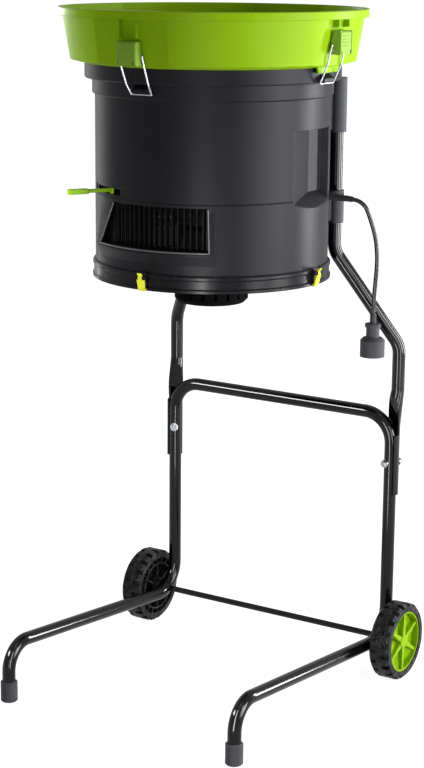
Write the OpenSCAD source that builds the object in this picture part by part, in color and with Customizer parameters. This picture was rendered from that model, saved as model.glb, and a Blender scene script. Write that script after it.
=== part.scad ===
// Leaf shredder on a two-wheeled tube stand: hopper, drum, cutter and motor.
// Millimetres. Origin on the floor at the middle of the footprint.
// -Y is the front, +X the side with the recess, +Z up.

/* [Stand] */
// Front of the foot caps to the back of the tyres
base_depth = 610; // [560:1:680]
// Spacing of the two uprights, centre to centre
frame_w = 502; // [470:1:540]
// Outside diameter of all frame tubes
tube_d = 25; // [22:0.5:28]
// Wall of the frame tubes
tube_wall = 1.5; // [1:0.1:2.5]
// Height of the crossbar's centre line
crossbar_z = 513; // [480:1:545]
// Bend radius at the crossbar's ends
crossbar_bend_r = 57; // [45:1:70]
// Bend radius behind the axle
leg_bend_r = 60; // [50:1:75]
// Bend radius above the feet
foot_bend_r = 50; // [40:1:65]
// How steeply the legs rise to the front, in degrees
leg_rise = 5; // [2:0.5:8]
// Height of the foot caps
foot_cap_h = 40; // [30:1:55]

/* [Wheels] */
// Tyre diameter
wheel_d = 150; // [130:1:170]
// Tyre width
wheel_w = 42; // [36:1:52]
// Axle diameter
axle_d = 12; // [10:0.5:14]
// Lugs on each shoulder of a tyre
lug_count = 20; // [14:1:26]

/* [Stays] */
// Spacing of the two stays where they hold the drum
stay_gap = 304; // [298:1:320]
// How far the stays reach forward of the uprights to the drum
stay_forward = 64; // [52:1:68]
// Slope of the stays' oblique part, in degrees
stay_splay = 35; // [31:1:40]
// Bend radius of the stays
stay_bend_r = 50; // [40:1:60]
// Height of the lower elbow of the stays
stay_elbow_z = 647; // [630:1:670]
// Height of the saddle's lower end
saddle_z = 356; // [330:1:380]
// Length of the saddle along the upright
saddle_h = 144; // [130:1:150]

/* [Drum] */
// Outer radius of the drum wall
drum_r = 213; // [204:1:216]
// Wall of the drum
drum_wall = 3; // [2.5:0.1:4]
// Height of the drum's underside
drum_z = 798; // [770:1:830]
// Height of the drum
drum_h = 385; // [365:1:410]
// Back of the drum wall to the plane of the uprights
drum_reach = 39; // [35:1:62]
// Bars in the grille
bar_count = 17; // [12:1:22]

/* [Hopper] */
// Height of the hopper above the drum
hopper_h = 97; // [88:1:120]
// Outer radius of the hopper's rim
hopper_rim_r = 278; // [272:1:300]
// Height of the rolled rim
hopper_lip_h = 14; // [10:0.5:20]
// Wall of the hopper
hopper_wall = 3; // [2.5:0.1:4]
// Height by which the right latch sits above the others
right_latch_rise = 18; // [0:1:22]

/* [Cutter and motor] */
// Radius of the motor housing
motor_r = 60; // [52:1:66]
// Shaft diameter
shaft_d = 12; // [10:0.5:14]
// Radius of the cutter head
head_r = 75; // [60:1:85]
// Tip radius of the trimmer lines
line_tip_r = 182; // [160:1:186]
// Trimmer lines
line_count = 6; // [2:1:8]

/* [Cord] */
// Cord diameter
cord_d = 8; // [6:0.5:10]
// Cap diameter of the plug
plug_d = 46; // [40:1:52]

/* [Hidden] */
// Overrun of cuts past a face
over = 1;
// Fit between parts that sit in each other
fit = 0.1;
// Gap of parts that sit inside the drum wall
seat_gap = 0.3;
// Running clearance on shafts and pins
run_fit = 0.08;
// Mark at the ends of a bend
mark_t = 0.03;
mark_h = 0.8;
mark_gap = 0.1;
// Faces round a circle
$fn = 72;
wire_fn = 40;
boss_fn = 32;
fine_fn = 288;

// Stand
tube_r = tube_d / 2;
upright_x = frame_w / 2;
wheel_r = wheel_d / 2;
axle_r = axle_d / 2;
axle_bend_angle = 63;
foot_floor = 5;
foot_wall = 3.5;
foot_r = tube_r + foot_wall;
foot_bevel = 2;
foot_y = -base_depth / 2 + foot_r;
axle_y = base_depth / 2 - wheel_r;
upright_y = axle_y + leg_bend_r * (1 - cos(axle_bend_angle));
leg_bend_y = upright_y - leg_bend_r;
leg_bend_z = wheel_r + leg_bend_r * sin(axle_bend_angle);
leg_back_y = leg_bend_y - leg_bend_r * sin(leg_rise);
leg_back_z = leg_bend_z - leg_bend_r * cos(leg_rise);
leg_front_y = foot_y + foot_bend_r * (1 + sin(leg_rise));
leg_l = (leg_back_y - leg_front_y) / cos(leg_rise);
foot_bend_z = leg_back_z + leg_l * sin(leg_rise) - foot_bend_r * cos(leg_rise);
upright_l = crossbar_z - crossbar_bend_r - leg_bend_z;
crossbar_l = frame_w - 2 * crossbar_bend_r;
frame_turn = 90 + leg_rise;

// Wheels, measured outward from the inner face of the tyre
wheel_gap = 7.5;
wheel_x = upright_x + tube_r + wheel_gap;
hub_gap = 0.5;
hub_r = 18;
tyre_bevel = 5;
cover_r = 59;
cover_fit = 0.4;
cover_seat = 18;
wheel_web = 9;
rim_ring_r = 47;
rim_ring_t = 2.5;
rim_floor_r = 60;
cell_ribs = 20;
cell_rib_t = 2;
spoke_ribs = 6;
lug_gap_w = 9;
lug_gap_h = 5;
lug_gap_share = 0.36;
web_x = wheel_w - cover_seat - wheel_web;
nut_r = 10;
nut_h = 6;
nut_room = 3;
nut_pocket_r = nut_r + nut_room;
cover_rim_w = 3.5;
cover_rim_h = 16;
blade_count = 6;
blade_tilt = 12;
blade_split = 0.5;
blade_t = 3;
blade_lift = 4;
cover_hub_r = 13;
cover_hub_h = 15;
wing_h = 14;
wing_in_w = 11;
wing_out_w = 5;
wing_at = 57;

// Stays
stay_x = stay_gap / 2;
saddle_fit = 0.2;
saddle_t = 4;
saddle_turn = 67;
saddle_from = -40;
saddle_to = 118;
bend_fit = 0.5;
saddle_r = tube_r + saddle_fit;
saddle_top = saddle_z + saddle_h;
crimp_h = 60;
crimp_top = saddle_top + crimp_h;
crimp_lap = 12;
crimp_face = 5;
crimp_lean = 4;
stay_off = 13;
stay_low_x = upright_x + stay_off * cos(saddle_turn);
stay_low_y = upright_y + stay_off * sin(saddle_turn);
stay_y = upright_y - stay_forward;
stay_side = norm([stay_low_x - stay_x, stay_low_y - stay_y]);
stay_roll = atan2(stay_y - stay_low_y, stay_x - stay_low_x);
stay_tangent = stay_bend_r * tan(stay_splay / 2);
stay_oblique_l = stay_side / sin(stay_splay) - 2 * stay_tangent;
stay_high_z = stay_elbow_z + stay_side / tan(stay_splay);
frame_bolt_up = 62;
frame_bolt_z = saddle_z + frame_bolt_up;
bolt_d = 8;
bolt_head_d = 14;
bolt_head_h = 5.5;
washer_t = 1.6;
washer_d = 17;

// Drum
drum_y = upright_y - drum_reach - drum_r;
drum_top = drum_z + drum_h;
collar_out = 18.5;
collar_r = drum_r + collar_out;
collar_h = 27;
shoulder_out = 5;
shoulder_r = drum_r + shoulder_out;
shoulder_h = 28;
band_bevel = 2;
collar_z = drum_top - collar_h;
shoulder_z = collar_z - shoulder_h;
drum_seat_up = 5;
drum_seat_z = drum_z + drum_seat_up;
drum_in_r = drum_r - drum_wall;
part_line_up = 154;
part_line_z = drum_z + part_line_up;
part_line_d = 1.2;

// Base ring
ring_t = 3;
ring_h = 30;
ring_lip_out = 5.5;
ring_lip_r = drum_r + ring_lip_out;
ring_bead_out = 5;
ring_bead_r = drum_r + ring_bead_out;
ring_ledge_w = 13;
ring_ledge_r = drum_r - ring_ledge_w;
ring_in_r = drum_r + fit;
ring_out_r = ring_in_r + ring_t;
bead_h = 7;
bead_slope = 2;

// Grille, scoop and shutter
grille_up = 72;
grille_z = drum_z + grille_up;
grille_h = 76;
grille_top = grille_z + grille_h;
scoop_half = 35;
scoop_out = 9;
scoop_r = drum_r + scoop_out;
scoop_drop = 6;
scoop_z = grille_z - scoop_drop;
scoop_foot_drop = 27;
scoop_foot_z = grille_z - scoop_foot_drop;
bars_from = -21.5;
bars_to = 30.5;
bar_w = 2.1;
panel_inset = 5;
panel_r = drum_r - panel_inset;
panel_t = 4;
panel_in_r = panel_r - panel_t;
panel_from = -41;
panel_to = 36;
panel_back_r = drum_in_r - seat_gap;
rail_h = 9;
rail_inset = 18;
rail_r = drum_r - rail_inset;
rail_to = 40;
rail_from = -56;
top_rail_from = -14;
window_axis = 4.5;
window_top_l = -92;
window_top_r = 95;
window_low_r = 101;
window_low_l = -126;
shutter_inset = 12.5;
shutter_r = drum_r - shutter_inset;
shutter_t = 2.5;
shutter_in_r = shutter_r - shutter_t;
shutter_gap = 0.4;
shutter_from = -42;
shutter_to = 31;
shutter_slot_share = 0.62;
shutter_lift = 4;
rail_groove = 5;

// Setting lever
lever_angle = -29;
lever_swing = 10;
lever_rise = 17;
lever_z = grille_top + lever_rise;
lever_slot_h = 11;
lever_slot_half = 12.5;
lever_panel_h = 17;
lever_panel_d = 1.4;
lever_panel_from = -44;
lever_panel_to = -10;
tab_half = 4;
tab_inset = 0.2;
stem_w = 9;
stem_h = 6;
stem_out = 36;
stem_r = drum_r + stem_out;
grip_out = 74;
grip_r = drum_r + grip_out;
grip_w = 12;
grip_h = 9;
stem_foot_w = 14;
stem_foot_t = 2;

// Side recess
recess_up = 137;
recess_z = drum_z + recess_up;
recess_h = 139;
recess_from = 75;
recess_mid = 109.5;
recess_to = 110.6;
recess_depth = 23;
recess_wall = 3;
recess_ramp_h = 25;
recess_past_share = 0.2;

// Stay sockets and sleeves
socket_wall = 5;
socket_r = tube_r + socket_wall;
socket_drop = 3;
socket_h = 100;
socket_z = collar_z - socket_drop - socket_h;
socket_cap = 10;
sleeve_wall = 3.5;
sleeve_r = tube_r + sleeve_wall;
sleeve_h = 61;
sleeve_up = 86;
sleeve_z = drum_z + sleeve_up;
web_w = 22;
web_margin = 5;
stay_angle = atan2(stay_x, drum_y - stay_y);
stay_r = norm([stay_x, stay_y - drum_y]);
sleeve_bolt_up = 50;
sleeve_bolt_z = sleeve_z + sleeve_bolt_up;
sleeve_bolt_d = 6;
sleeve_bolt_head_d = 11;
sleeve_bolt_head_h = 4.5;
sleeve_spot = 0.6;
spot_room = 0.8;
stay_top = socket_z + socket_h - socket_cap;

// Hopper
hopper_top = drum_top + hopper_h;
hopper_foot_out = 25.5;
hopper_foot_r = collar_r + hopper_foot_out;
hopper_foot_up = 6;
hopper_foot_z = drum_top + hopper_foot_up;
rim_out = 6;
hopper_top_r = hopper_rim_r - rim_out;
hopper_seat_out = 1.5;
hopper_seat_r = collar_r + hopper_seat_out;
throat_in = 8;
throat_r = drum_r - throat_in;
flat_half = 16.5;
wall_h = hopper_top - hopper_foot_z;
flat_share = cos(flat_half);
flat_low_r = hopper_foot_r * flat_share;
flat_top_r = hopper_top_r * flat_share;
flat_slope = atan((flat_top_r - flat_low_r) / wall_h);
rim_t = 3.5;
spigot_h = 12;
spigot_t = 2.5;
spigot_fit = 0.3;
spigot_r = collar_r - drum_wall - spigot_fit;

// Latches, in radius and height from the lever's pin
latch_count = 4;
pin_up = 6;
pin_z = hopper_foot_z + pin_up;
pin_r = 2;
hinge_up = 10;
hinge_out = 1;
lever_half = 21;
flange_t = 4;
lever_up = 34;
lever_clear = 2.23;
pin_off = lever_clear + lever_up * tan(flat_slope);
lever_down = 7;
lever_out = 15;
lever_t = 4;
lever_back = 3.5;
lever_knee = 14;
lever_boss_r = 6.5;
lever_bevel = 3;
notch_w = 3;
notch_h = 8;
ear_half = 12.2;
ear_t = 6.4;
ear_r = 6;
ear_root = 10.4;
ear_in = pin_off + ear_root;
rib_t = 3;
rib_half = 17.5;
rib_out = 11;
rib_gap = 3;
wire_r = 1.75;
bail_half = 24;
bail_hook_half = 21;
bail_tip = 0.6;
hook_gap = 0.4;
low_hook_out = 5;
low_hook_r = shoulder_r + low_hook_out;
low_hook_drop = 18;
low_hook_z = collar_z - low_hook_drop;
high_hook_out = 4.5;
high_hook_r = collar_r + high_hook_out;
pad_half = 17;
pad_reach = 5;
pad_face_h = 6;
pad_h = 14;
tongue_half = 33;
tongue_flare = 5;
tongue_t = 3.5;
tongue_h = 9;
tongue_gap = 2;

// Bag clips, in radius and height from the pin
clip_count = 4;
clip_pin_out = 8;
clip_pin_up = 23;
clip_pin_z = drum_z + clip_pin_up;
clip_pin_r = 1.2;
clip_w_top = 7.4;
clip_w_low = 14;
clip_t = 2.6;
clip_up = 9;
clip_down = 17;
clip_lean = 6;
clip_gap = 0.4;
clip_frame_half = 6.4;
clip_ear_t = 1.8;
clip_eye_r = 3;

// Motor and cutter
mount_r = drum_in_r - seat_gap;
mount_ring_w = 10;
mount_h = 14;
arm_count = 3;
arm_w = 20;
arm_seat = 4;
hub_ring_w = 8;
hub_ring_r = motor_r + hub_ring_w;
flange_h = 4;
motor_wall = 2.5;
motor_up = 87;
motor_top = drum_z + motor_up;
bearing_r = 16;
bearing_h = 10;
boss_w = 4;
end_plate_h = 4;
stator_r = motor_r - motor_wall - fit;
stator_w = 20;
stator_in_r = motor_r - stator_w;
stator_h = 46;
core_gap = 1;
core_r = stator_in_r - core_gap;
shaft_up = 128;
shaft_top = drum_z + shaft_up;
motor_foot = drum_seat_z;
cover_drop = 56;
cover_wall = 3;
cover_step = 7;
vent_slots = 18;
vent_slot_w = 5;
vent_slot_h = 27;
head_up = 97;
head_z = drum_z + head_up;
head_h = 14;
head_step_r = 28;
line_d = 3;
line_seat = 16;
head_nut_r = 9.5;
head_nut_h = 8;

// Switch on the back
switch_w = 36;
switch_h = 54;
switch_up = 215;
switch_z = drum_z + switch_up;
switch_out = 8;
switch_in = 14;
switch_wall = 4;
rocker_gap = 0.6;
rocker_t = 5;
rocker_tilt = 9;
rocker_pin_r = 2;
rocker_boss_r = 4;

// Cord boot, cord and plug, in the upright plane through the boot
boot_angle = 125;
boot_up = 144;
boot_z = drum_z + boot_up;
boot_droop = 8;
boot_l = 46;
boot_in = 12;
boot_r = 7.5;
boot_tip_r = 5.2;
boot_flange_r = 11;
boot_flange_t = 3;
cord_r = cord_d / 2;
cord_sides = 8;
// Shares of the drum radius outward and of the drum height downward
cord_reach_shares = [0.0453, 0.0845, 0.1117, 0.1258, 0.146, 0.1676, 0.1883, 0.2052, 0.2155, 0.2207, 0.2207,
    0.2174, 0.2122, 0.207, 0.2033, 0.2014, 0.2014];
cord_drop_shares = [0.0074, 0.0218, 0.0394, 0.0543, 0.0834, 0.1179, 0.1551, 0.1956, 0.2369, 0.2782, 0.3197,
    0.3613, 0.4026, 0.4442, 0.4857, 0.5221, 0.5532];
boot_tip = [drum_r + boot_l * cos(boot_droop), boot_z - boot_l * sin(boot_droop)];
cord_points = concat([boot_tip], [for (k = [0 : len(cord_reach_shares) - 1])
    [boot_tip[0] + drum_r * cord_reach_shares[k], boot_tip[1] - drum_h * cord_drop_shares[k]]]);
cord_last = len(cord_points) - 1;
cord_end = cord_points[cord_last];
plug_r = plug_d / 2;
relief_h = 19;
relief_r = 6.3;
relief_rib_w = 1.2;
relief_ribs = 4;
plug_collar_share = 0.65;
plug_collar_r = plug_r * plug_collar_share;
plug_collar_h = 6;
plug_neck_share = 0.54;
plug_neck_r = plug_r * plug_neck_share;
plug_neck_h = 20;
plug_cap_h = 36;
plug_cap_bevel = 5;
plug_shroud = 3;
plug_cavity_h = 22;
blade_w = 6.4;
blade_thick = 1.5;
blade_l = 17;
blade_gap = 12.7;

BLACK_TUBE = [0.08, 0.08, 0.09];
BLACK_PLASTIC = [0.13, 0.13, 0.14];
GREEN = [0.55, 0.82, 0.1];
YELLOW = [0.92, 0.9, 0.15];
STEEL = [0.72, 0.73, 0.75];
RUBBER = [0.2, 0.2, 0.2];
COPPER = [0.6, 0.38, 0.22];

// Shared helpers

// Cross-section of a frame tube
module tube_section(grow) {
    difference() {
        circle(r = tube_r + grow);
        circle(r = tube_r - tube_wall - grow);
    }
}

// Slight mark where a bend of the tube begins or ends
module bend_mark() translate([0, 0, -mark_h / 2]) linear_extrude(height = mark_h) tube_section(mark_t);

// Tube along a bent line: runs, bend radii, bend angles and rolls
module tube_path(steps, k = 0) {
    if (k < len(steps)) {
        run = steps[k][0];
        bend_r = steps[k][1];
        turn = steps[k][2];
        low = k > 0 ? mark_gap : 0;
        high = turn > 0 ? mark_gap : 0;
        translate([0, 0, low]) linear_extrude(height = run - low - high) tube_section(0);
        if (k > 0) bend_mark();
        translate([0, 0, run]) rotate([0, 0, steps[k][3]]) {
            if (turn > 0) {
                bend_mark();
                translate([bend_r, 0, 0]) rotate([90, 0, 180])
                    rotate_extrude(angle = turn) translate([bend_r, 0]) tube_section(0);
            }
            translate([bend_r, 0, 0]) rotate([0, turn, 0]) translate([-bend_r, 0, 0])
                tube_path(steps, k + 1);
        }
    }
}

// Straight rod between two points
module rod(from, to, radius) {
    d = to - from;
    l = norm(d);
    translate(from) rotate([0, acos(d[2] / l), atan2(d[1], d[0])])
        cylinder(h = l, r = radius, $fn = wire_fn);
}

// Tapered rod between two points
module taper(from, to, r_from, r_to) {
    d = to - from;
    l = norm(d);
    translate(from) rotate([0, acos(d[2] / l), atan2(d[1], d[0])]) cylinder(h = l, r1 = r_from, r2 = r_to);
}

// Ring with its lower face at zero
module ring(r_out, r_in, h) {
    difference() {
        cylinder(r = r_out, h = h);
        translate([0, 0, -over]) cylinder(r = r_in, h = h + 2 * over);
    }
}

// Drum axis, with an angle from the front towards +X; outward is -Y
module at_drum(angle = 0) translate([0, drum_y, 0]) rotate([0, 0, angle]) children();

// Body of revolution about the drum axis between two angles
module sector(from, to) rotate([0, 0, from - 90]) rotate_extrude(angle = to - from) children();

// Plate across a radius: drawn in radius and height, thickness along the tangent
module side_plate(w) rotate([90, 0, -90]) linear_extrude(height = w, center = true) children();

// Hexagon bolt or nut along +X
module hexagon(d, h) rotate([0, 90, 0]) cylinder(d = d, h = h, $fn = 6);
module bar_x(r, l) rotate([0, 90, 0]) cylinder(r = r, h = l);

// Stand

frame_steps = [
    [foot_bend_z - foot_floor, foot_bend_r, frame_turn, 90],
    [leg_l, leg_bend_r, frame_turn, 180],
    [upright_l, crossbar_bend_r, 90, -90],
    [crossbar_l, crossbar_bend_r, 90, 0],
    [upright_l, leg_bend_r, frame_turn, 90],
    [leg_l, foot_bend_r, frame_turn, 180],
    [foot_bend_z - foot_floor, 0, 0, 0]
];

module lower_frame() {
    color(BLACK_TUBE) difference() {
        translate([upright_x, foot_y, foot_floor]) tube_path(frame_steps);
        translate([-frame_w, axle_y, wheel_r]) bar_x(axle_r + fit, 2 * frame_w);
        for (s = [0, 1]) mirror([s, 0, 0]) at_saddle() translate([-tube_d, 0, frame_bolt_z])
            bar_x(bolt_d / 2 + fit, 2 * tube_d);
    }
}

stay_steps = [
    [stay_elbow_z - stay_tangent - crimp_top, stay_bend_r, stay_splay, stay_roll],
    [stay_oblique_l, stay_bend_r, stay_splay, 180],
    [stay_top - stay_high_z - stay_tangent, 0, 0, 0]
];

module at_saddle() translate([upright_x, upright_y, 0]) rotate([0, 0, saddle_turn]) children();

module stay_tube() {
    color(BLACK_TUBE) difference() {
        union() {
            translate([stay_low_x, stay_low_y, crimp_top]) {
                tube_path(stay_steps);
                sphere(r = tube_r + mark_t);
            }
            taper([upright_x, upright_y, saddle_top - crimp_lap], [stay_low_x, stay_low_y, crimp_top],
                saddle_r + saddle_t, tube_r);
            translate([upright_x, upright_y, saddle_z]) rotate([0, 0, saddle_from])
                rotate_extrude(angle = saddle_to - saddle_from) translate([saddle_r / 2, 0])
                    square([saddle_r / 2 + saddle_t, saddle_h]);
        }
        translate([upright_x, upright_y, saddle_z - over]) cylinder(r = saddle_r, h = saddle_h + over);
        translate([upright_x - crossbar_bend_r, upright_y, crossbar_z - crossbar_bend_r]) rotate([90, 0, 0])
            rotate_extrude(angle = 90, $fn = fine_fn) translate([crossbar_bend_r, 0]) circle(r = saddle_r + bend_fit);
        at_saddle() translate([crimp_face, 0, saddle_top]) rotate([0, -crimp_lean, 0])
            translate([-2 * tube_d, -tube_d, -tube_d]) cube([2 * tube_d, 2 * tube_d, tube_d + crimp_h - tube_r]);
        at_saddle() translate([0, 0, frame_bolt_z]) bar_x(bolt_d / 2 + fit, 2 * tube_d);
        translate([0, stay_y, sleeve_bolt_z]) bar_x(sleeve_bolt_d / 2 + fit, 2 * stay_x);
    }
}

module stay_right() stay_tube();
module stay_left() mirror([1, 0, 0]) stay_tube();

module foot_cap_right() {
    color(RUBBER) translate([upright_x, foot_y, 0]) rotate_extrude()
        polygon([[0, 0], [foot_r - foot_bevel, 0], [foot_r, foot_bevel], [foot_r, foot_cap_h - foot_bevel],
            [foot_r - foot_bevel, foot_cap_h], [tube_r + fit, foot_cap_h], [tube_r + fit, foot_floor],
            [0, foot_floor]]);
}
module foot_cap_left() mirror([1, 0, 0]) foot_cap_right();

axle_half = wheel_x + wheel_w - cover_seat;
module axle() {
    color(STEEL) translate([-axle_half, axle_y, wheel_r]) bar_x(axle_r, 2 * axle_half);
}

module one_axle_nut() {
    translate([axle_half - nut_h, axle_y, wheel_r]) difference() {
        hexagon(2 * nut_r, nut_h);
        translate([-over, 0, 0]) bar_x(axle_r, nut_h + 2 * over);
    }
}
module axle_nuts() {
    color(STEEL) {
        one_axle_nut();
        mirror([1, 0, 0]) one_axle_nut();
    }
}

bolt_out_x = saddle_r + saddle_t;
bolt_in_x = -tube_r - washer_t;
module one_frame_bolt() {
    at_saddle() translate([0, 0, frame_bolt_z]) {
        translate([bolt_in_x - bolt_head_h, 0, 0])
            bar_x(bolt_d / 2, bolt_out_x - bolt_in_x + bolt_head_h + washer_t);
        translate([bolt_out_x + washer_t, 0, 0]) hexagon(bolt_head_d, bolt_head_h);
        translate([bolt_out_x, 0, 0]) bar_x(washer_d / 2, washer_t);
        translate([bolt_in_x, 0, 0]) bar_x(washer_d / 2, washer_t);
        translate([bolt_in_x - bolt_head_h, 0, 0]) hexagon(bolt_head_d, bolt_head_h);
    }
}
module frame_bolts() {
    color(STEEL) {
        one_frame_bolt();
        mirror([1, 0, 0]) one_frame_bolt();
    }
}

// Wheels: drawn with the axle along +Z and the inner face at zero

module wheel_body() {
    rim_in = rim_floor_r;
    difference() {
        union() {
            rotate_extrude() polygon([
                [0, -(wheel_x - upright_x - tube_r - hub_gap)], [hub_r, -(wheel_x - upright_x - tube_r - hub_gap)],
                [hub_r, web_x], [rim_in, web_x], [rim_in, 0], [wheel_r - tyre_bevel, 0],
                [wheel_r, tyre_bevel], [wheel_r, wheel_w - tyre_bevel], [wheel_r - tyre_bevel, wheel_w],
                [cover_r + cover_fit, wheel_w], [cover_r + cover_fit, wheel_w - cover_seat],
                [0, wheel_w - cover_seat]]);
            ring(rim_ring_r + rim_ring_t, rim_ring_r, web_x + over);
            for (k = [0 : cell_ribs - 1]) rotate([0, 0, k * 360 / cell_ribs])
                translate([rim_ring_r + over, -cell_rib_t / 2, cell_rib_t])
                    cube([rim_in - rim_ring_r, cell_rib_t, web_x]);
            for (k = [0 : spoke_ribs - 1]) rotate([0, 0, k * 360 / spoke_ribs])
                translate([hub_r - over, -cell_rib_t / 2, cell_rib_t])
                    cube([rim_ring_r - hub_r + 2 * over, cell_rib_t, web_x]);
        }
        translate([0, 0, -wheel_w]) cylinder(r = axle_r + run_fit, h = 3 * wheel_w);
        translate([0, 0, wheel_w - cover_seat - nut_h - over]) cylinder(r = nut_pocket_r, h = wheel_w);
        for (k = [0 : lug_count - 1]) {
            rotate([0, 0, k * 360 / lug_count]) translate([wheel_r - lug_gap_h, -lug_gap_w / 2, -over])
                cube([2 * lug_gap_h, lug_gap_w, wheel_w * lug_gap_share + over]);
            rotate([0, 0, (k + 0.5) * 360 / lug_count])
                translate([wheel_r - lug_gap_h, -lug_gap_w / 2, wheel_w * (1 - lug_gap_share)])
                    cube([2 * lug_gap_h, lug_gap_w, wheel_w]);
        }
    }
}

module hub_cover_body() {
    blade_sweep = 360 / blade_count - blade_split;
    translate([0, 0, wheel_w - cover_seat]) {
        ring(cover_r, cover_r - cover_rim_w, cover_rim_h);
        difference() {
            cylinder(r = cover_r - over, h = blade_t);
            translate([0, 0, -over]) cylinder(r = axle_r + over, h = blade_t);
        }
        translate([0, 0, blade_t / 2])
            cylinder(r1 = cover_hub_r + over, r2 = cover_hub_r, h = cover_hub_h - blade_t / 2);
        for (k = [0 : blade_count - 1]) rotate([0, 0, k * 360 / blade_count])
            intersection() {
                rotate_extrude(angle = blade_sweep) translate([cover_hub_r / 2, over])
                    square([cover_r - cover_rim_w / 2 - cover_hub_r / 2, cover_rim_h - 2 * over]);
                rotate([0, 0, blade_sweep / 2]) translate([0, 0, blade_lift]) rotate([blade_tilt, 0, 0])
                    translate([0, -cover_r, -cover_r]) cube([2 * cover_r, 2 * cover_r, cover_r]);
            }
        for (k = [0 : blade_count - 1]) rotate([0, 0, k * 360 / blade_count + wing_at])
            translate([0, 0, blade_t / 2]) linear_extrude(height = wing_h - blade_t / 2)
                polygon([[cover_hub_r / 2, -wing_in_w / 2], [cover_r - cover_rim_w / 2, -wing_out_w / 2],
                    [cover_r - cover_rim_w / 2, wing_out_w / 2], [cover_hub_r / 2, wing_in_w / 2]]);
    }
}

module at_wheel() translate([wheel_x, axle_y, wheel_r]) rotate([0, 90, 0]) children();

module wheel_right() color(BLACK_PLASTIC) at_wheel() wheel_body();
module wheel_left() color(BLACK_PLASTIC) mirror([1, 0, 0]) at_wheel() wheel_body();
module hub_cover_right() color(GREEN) at_wheel() hub_cover_body();
module hub_cover_left() color(GREEN) mirror([1, 0, 0]) at_wheel() hub_cover_body();

// Drum

function on_circle(r, angle) = [r * sin(angle), -r * cos(angle)];
recess_b = on_circle(drum_r - recess_depth, recess_mid);
recess_edge = on_circle(drum_r, recess_from);
recess_end = on_circle(drum_r, recess_to);
recess_a = recess_edge + (recess_edge - recess_b) * recess_past_share;
recess_c = recess_end + (recess_end - recess_b) * recess_past_share;
recess_far = on_circle(2 * drum_r, recess_to);
recess_near = on_circle(2 * drum_r, recess_from);
recess_axis = (recess_from + recess_to) / 2;

module drum_wall_body() {
    rotate_extrude() polygon([
        [drum_in_r, drum_seat_z], [drum_r, drum_seat_z],
        [drum_r, part_line_z - part_line_d], [drum_r - part_line_d, part_line_z],
        [drum_r, part_line_z + part_line_d], [drum_r, shoulder_z],
        [shoulder_r - band_bevel, shoulder_z], [shoulder_r, shoulder_z + band_bevel],
        [shoulder_r, collar_z], [collar_r - band_bevel, collar_z], [collar_r, collar_z + band_bevel],
        [collar_r, drum_top], [collar_r - drum_wall, drum_top], [collar_r - drum_wall, collar_z + drum_wall],
        [shoulder_r - drum_wall, collar_z + drum_wall], [shoulder_r - drum_wall, shoulder_z + drum_wall],
        [drum_in_r, shoulder_z + drum_wall]]);
}

module recess_cut(grow) {
    intersection() {
        translate([0, 0, recess_z - grow - recess_ramp_h]) linear_extrude(height = recess_h + 2 * grow + recess_ramp_h)
            offset_recess(grow);
        rotate([0, 0, recess_axis]) side_plate(2 * drum_r)
            polygon([[drum_r - recess_depth - 2 * grow - over, recess_z + recess_ramp_h - grow],
                [drum_r - recess_depth, recess_z + recess_ramp_h - grow],
                [drum_r + over, recess_z - grow], [2 * drum_r, recess_z - grow],
                [2 * drum_r, recess_z + recess_h + grow],
                [drum_r - recess_depth - 2 * grow - over, recess_z + recess_h + grow]]);
    }
}

module offset_recess(grow) {
    inward = on_circle(-grow, recess_axis);
    along = on_circle(grow, recess_axis + 90);
    polygon([recess_a + inward - along, recess_b + inward + along, recess_c + inward + along,
        recess_far + along, recess_near - along]);
}

module latch_pad(hook_r, hook_z, root_r) {
    low = hook_z + wire_r + hook_gap;
    side_plate(2 * pad_half)
        polygon([[root_r, low], [hook_r + pad_reach, low], [hook_r + pad_reach, low + pad_face_h],
            [root_r, low + pad_h]]);
}

module drum() {
    color(BLACK_PLASTIC) at_drum() difference() {
        union() {
            drum_wall_body();
            intersection() {
                recess_cut(recess_wall);
                translate([0, 0, drum_z]) cylinder(r = drum_r - over, h = drum_h);
            }
            sector(-scoop_half, scoop_half) polygon([[drum_r - over, grille_top + over],
                [scoop_r, scoop_z + over], [scoop_r, scoop_z], [drum_r - over, scoop_foot_z]]);
            for (k = [0, 2, 3]) rotate([0, 0, k * 90]) latch_pad(low_hook_r, low_hook_z, shoulder_r - over);
            rotate([0, 0, 90]) latch_pad(high_hook_r, low_hook_z + right_latch_rise, collar_r - over);
        }
        recess_cut(0);
        rotate([0, 0, window_axis]) rotate([90, 0, 0])
            translate([0, 0, drum_r / 2]) linear_extrude(height = drum_r)
                polygon([[window_low_l, grille_z - over], [window_low_r, grille_z - over],
                    [window_top_r, grille_top], [window_top_l, grille_top]]);
        sector(lever_angle - lever_slot_half, lever_angle + lever_slot_half)
            translate([drum_r - 2 * drum_wall, lever_z - lever_slot_h / 2]) square([4 * drum_wall, lever_slot_h]);
        sector(lever_panel_from, lever_panel_to)
            translate([drum_r - lever_panel_d, lever_z - lever_panel_h / 2]) square([2 * drum_wall, lever_panel_h]);
        rotate([0, 0, 180]) translate([0, -drum_r, switch_z])
            cube([switch_w + 2 * fit, 4 * switch_in, switch_h + 2 * fit], center = true);
        at_boot() translate([0, 0, -2 * boot_in]) cylinder(r = boot_r + fit, h = 4 * boot_in);
    }
}

module base_ring() {
    bead_low = drum_z + ring_h - bead_h;
    color(BLACK_PLASTIC) at_drum() rotate_extrude() polygon([
        [ring_ledge_r, drum_z], [ring_lip_r, drum_z], [ring_lip_r, drum_seat_z],
        [ring_out_r, drum_seat_z + bead_slope], [ring_out_r, bead_low - bead_slope],
        [ring_bead_r, bead_low], [ring_bead_r, drum_z + ring_h - bead_slope],
        [ring_out_r, drum_z + ring_h], [ring_in_r, drum_z + ring_h], [ring_in_r, drum_seat_z],
        [ring_ledge_r, drum_seat_z]]);
}

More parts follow.
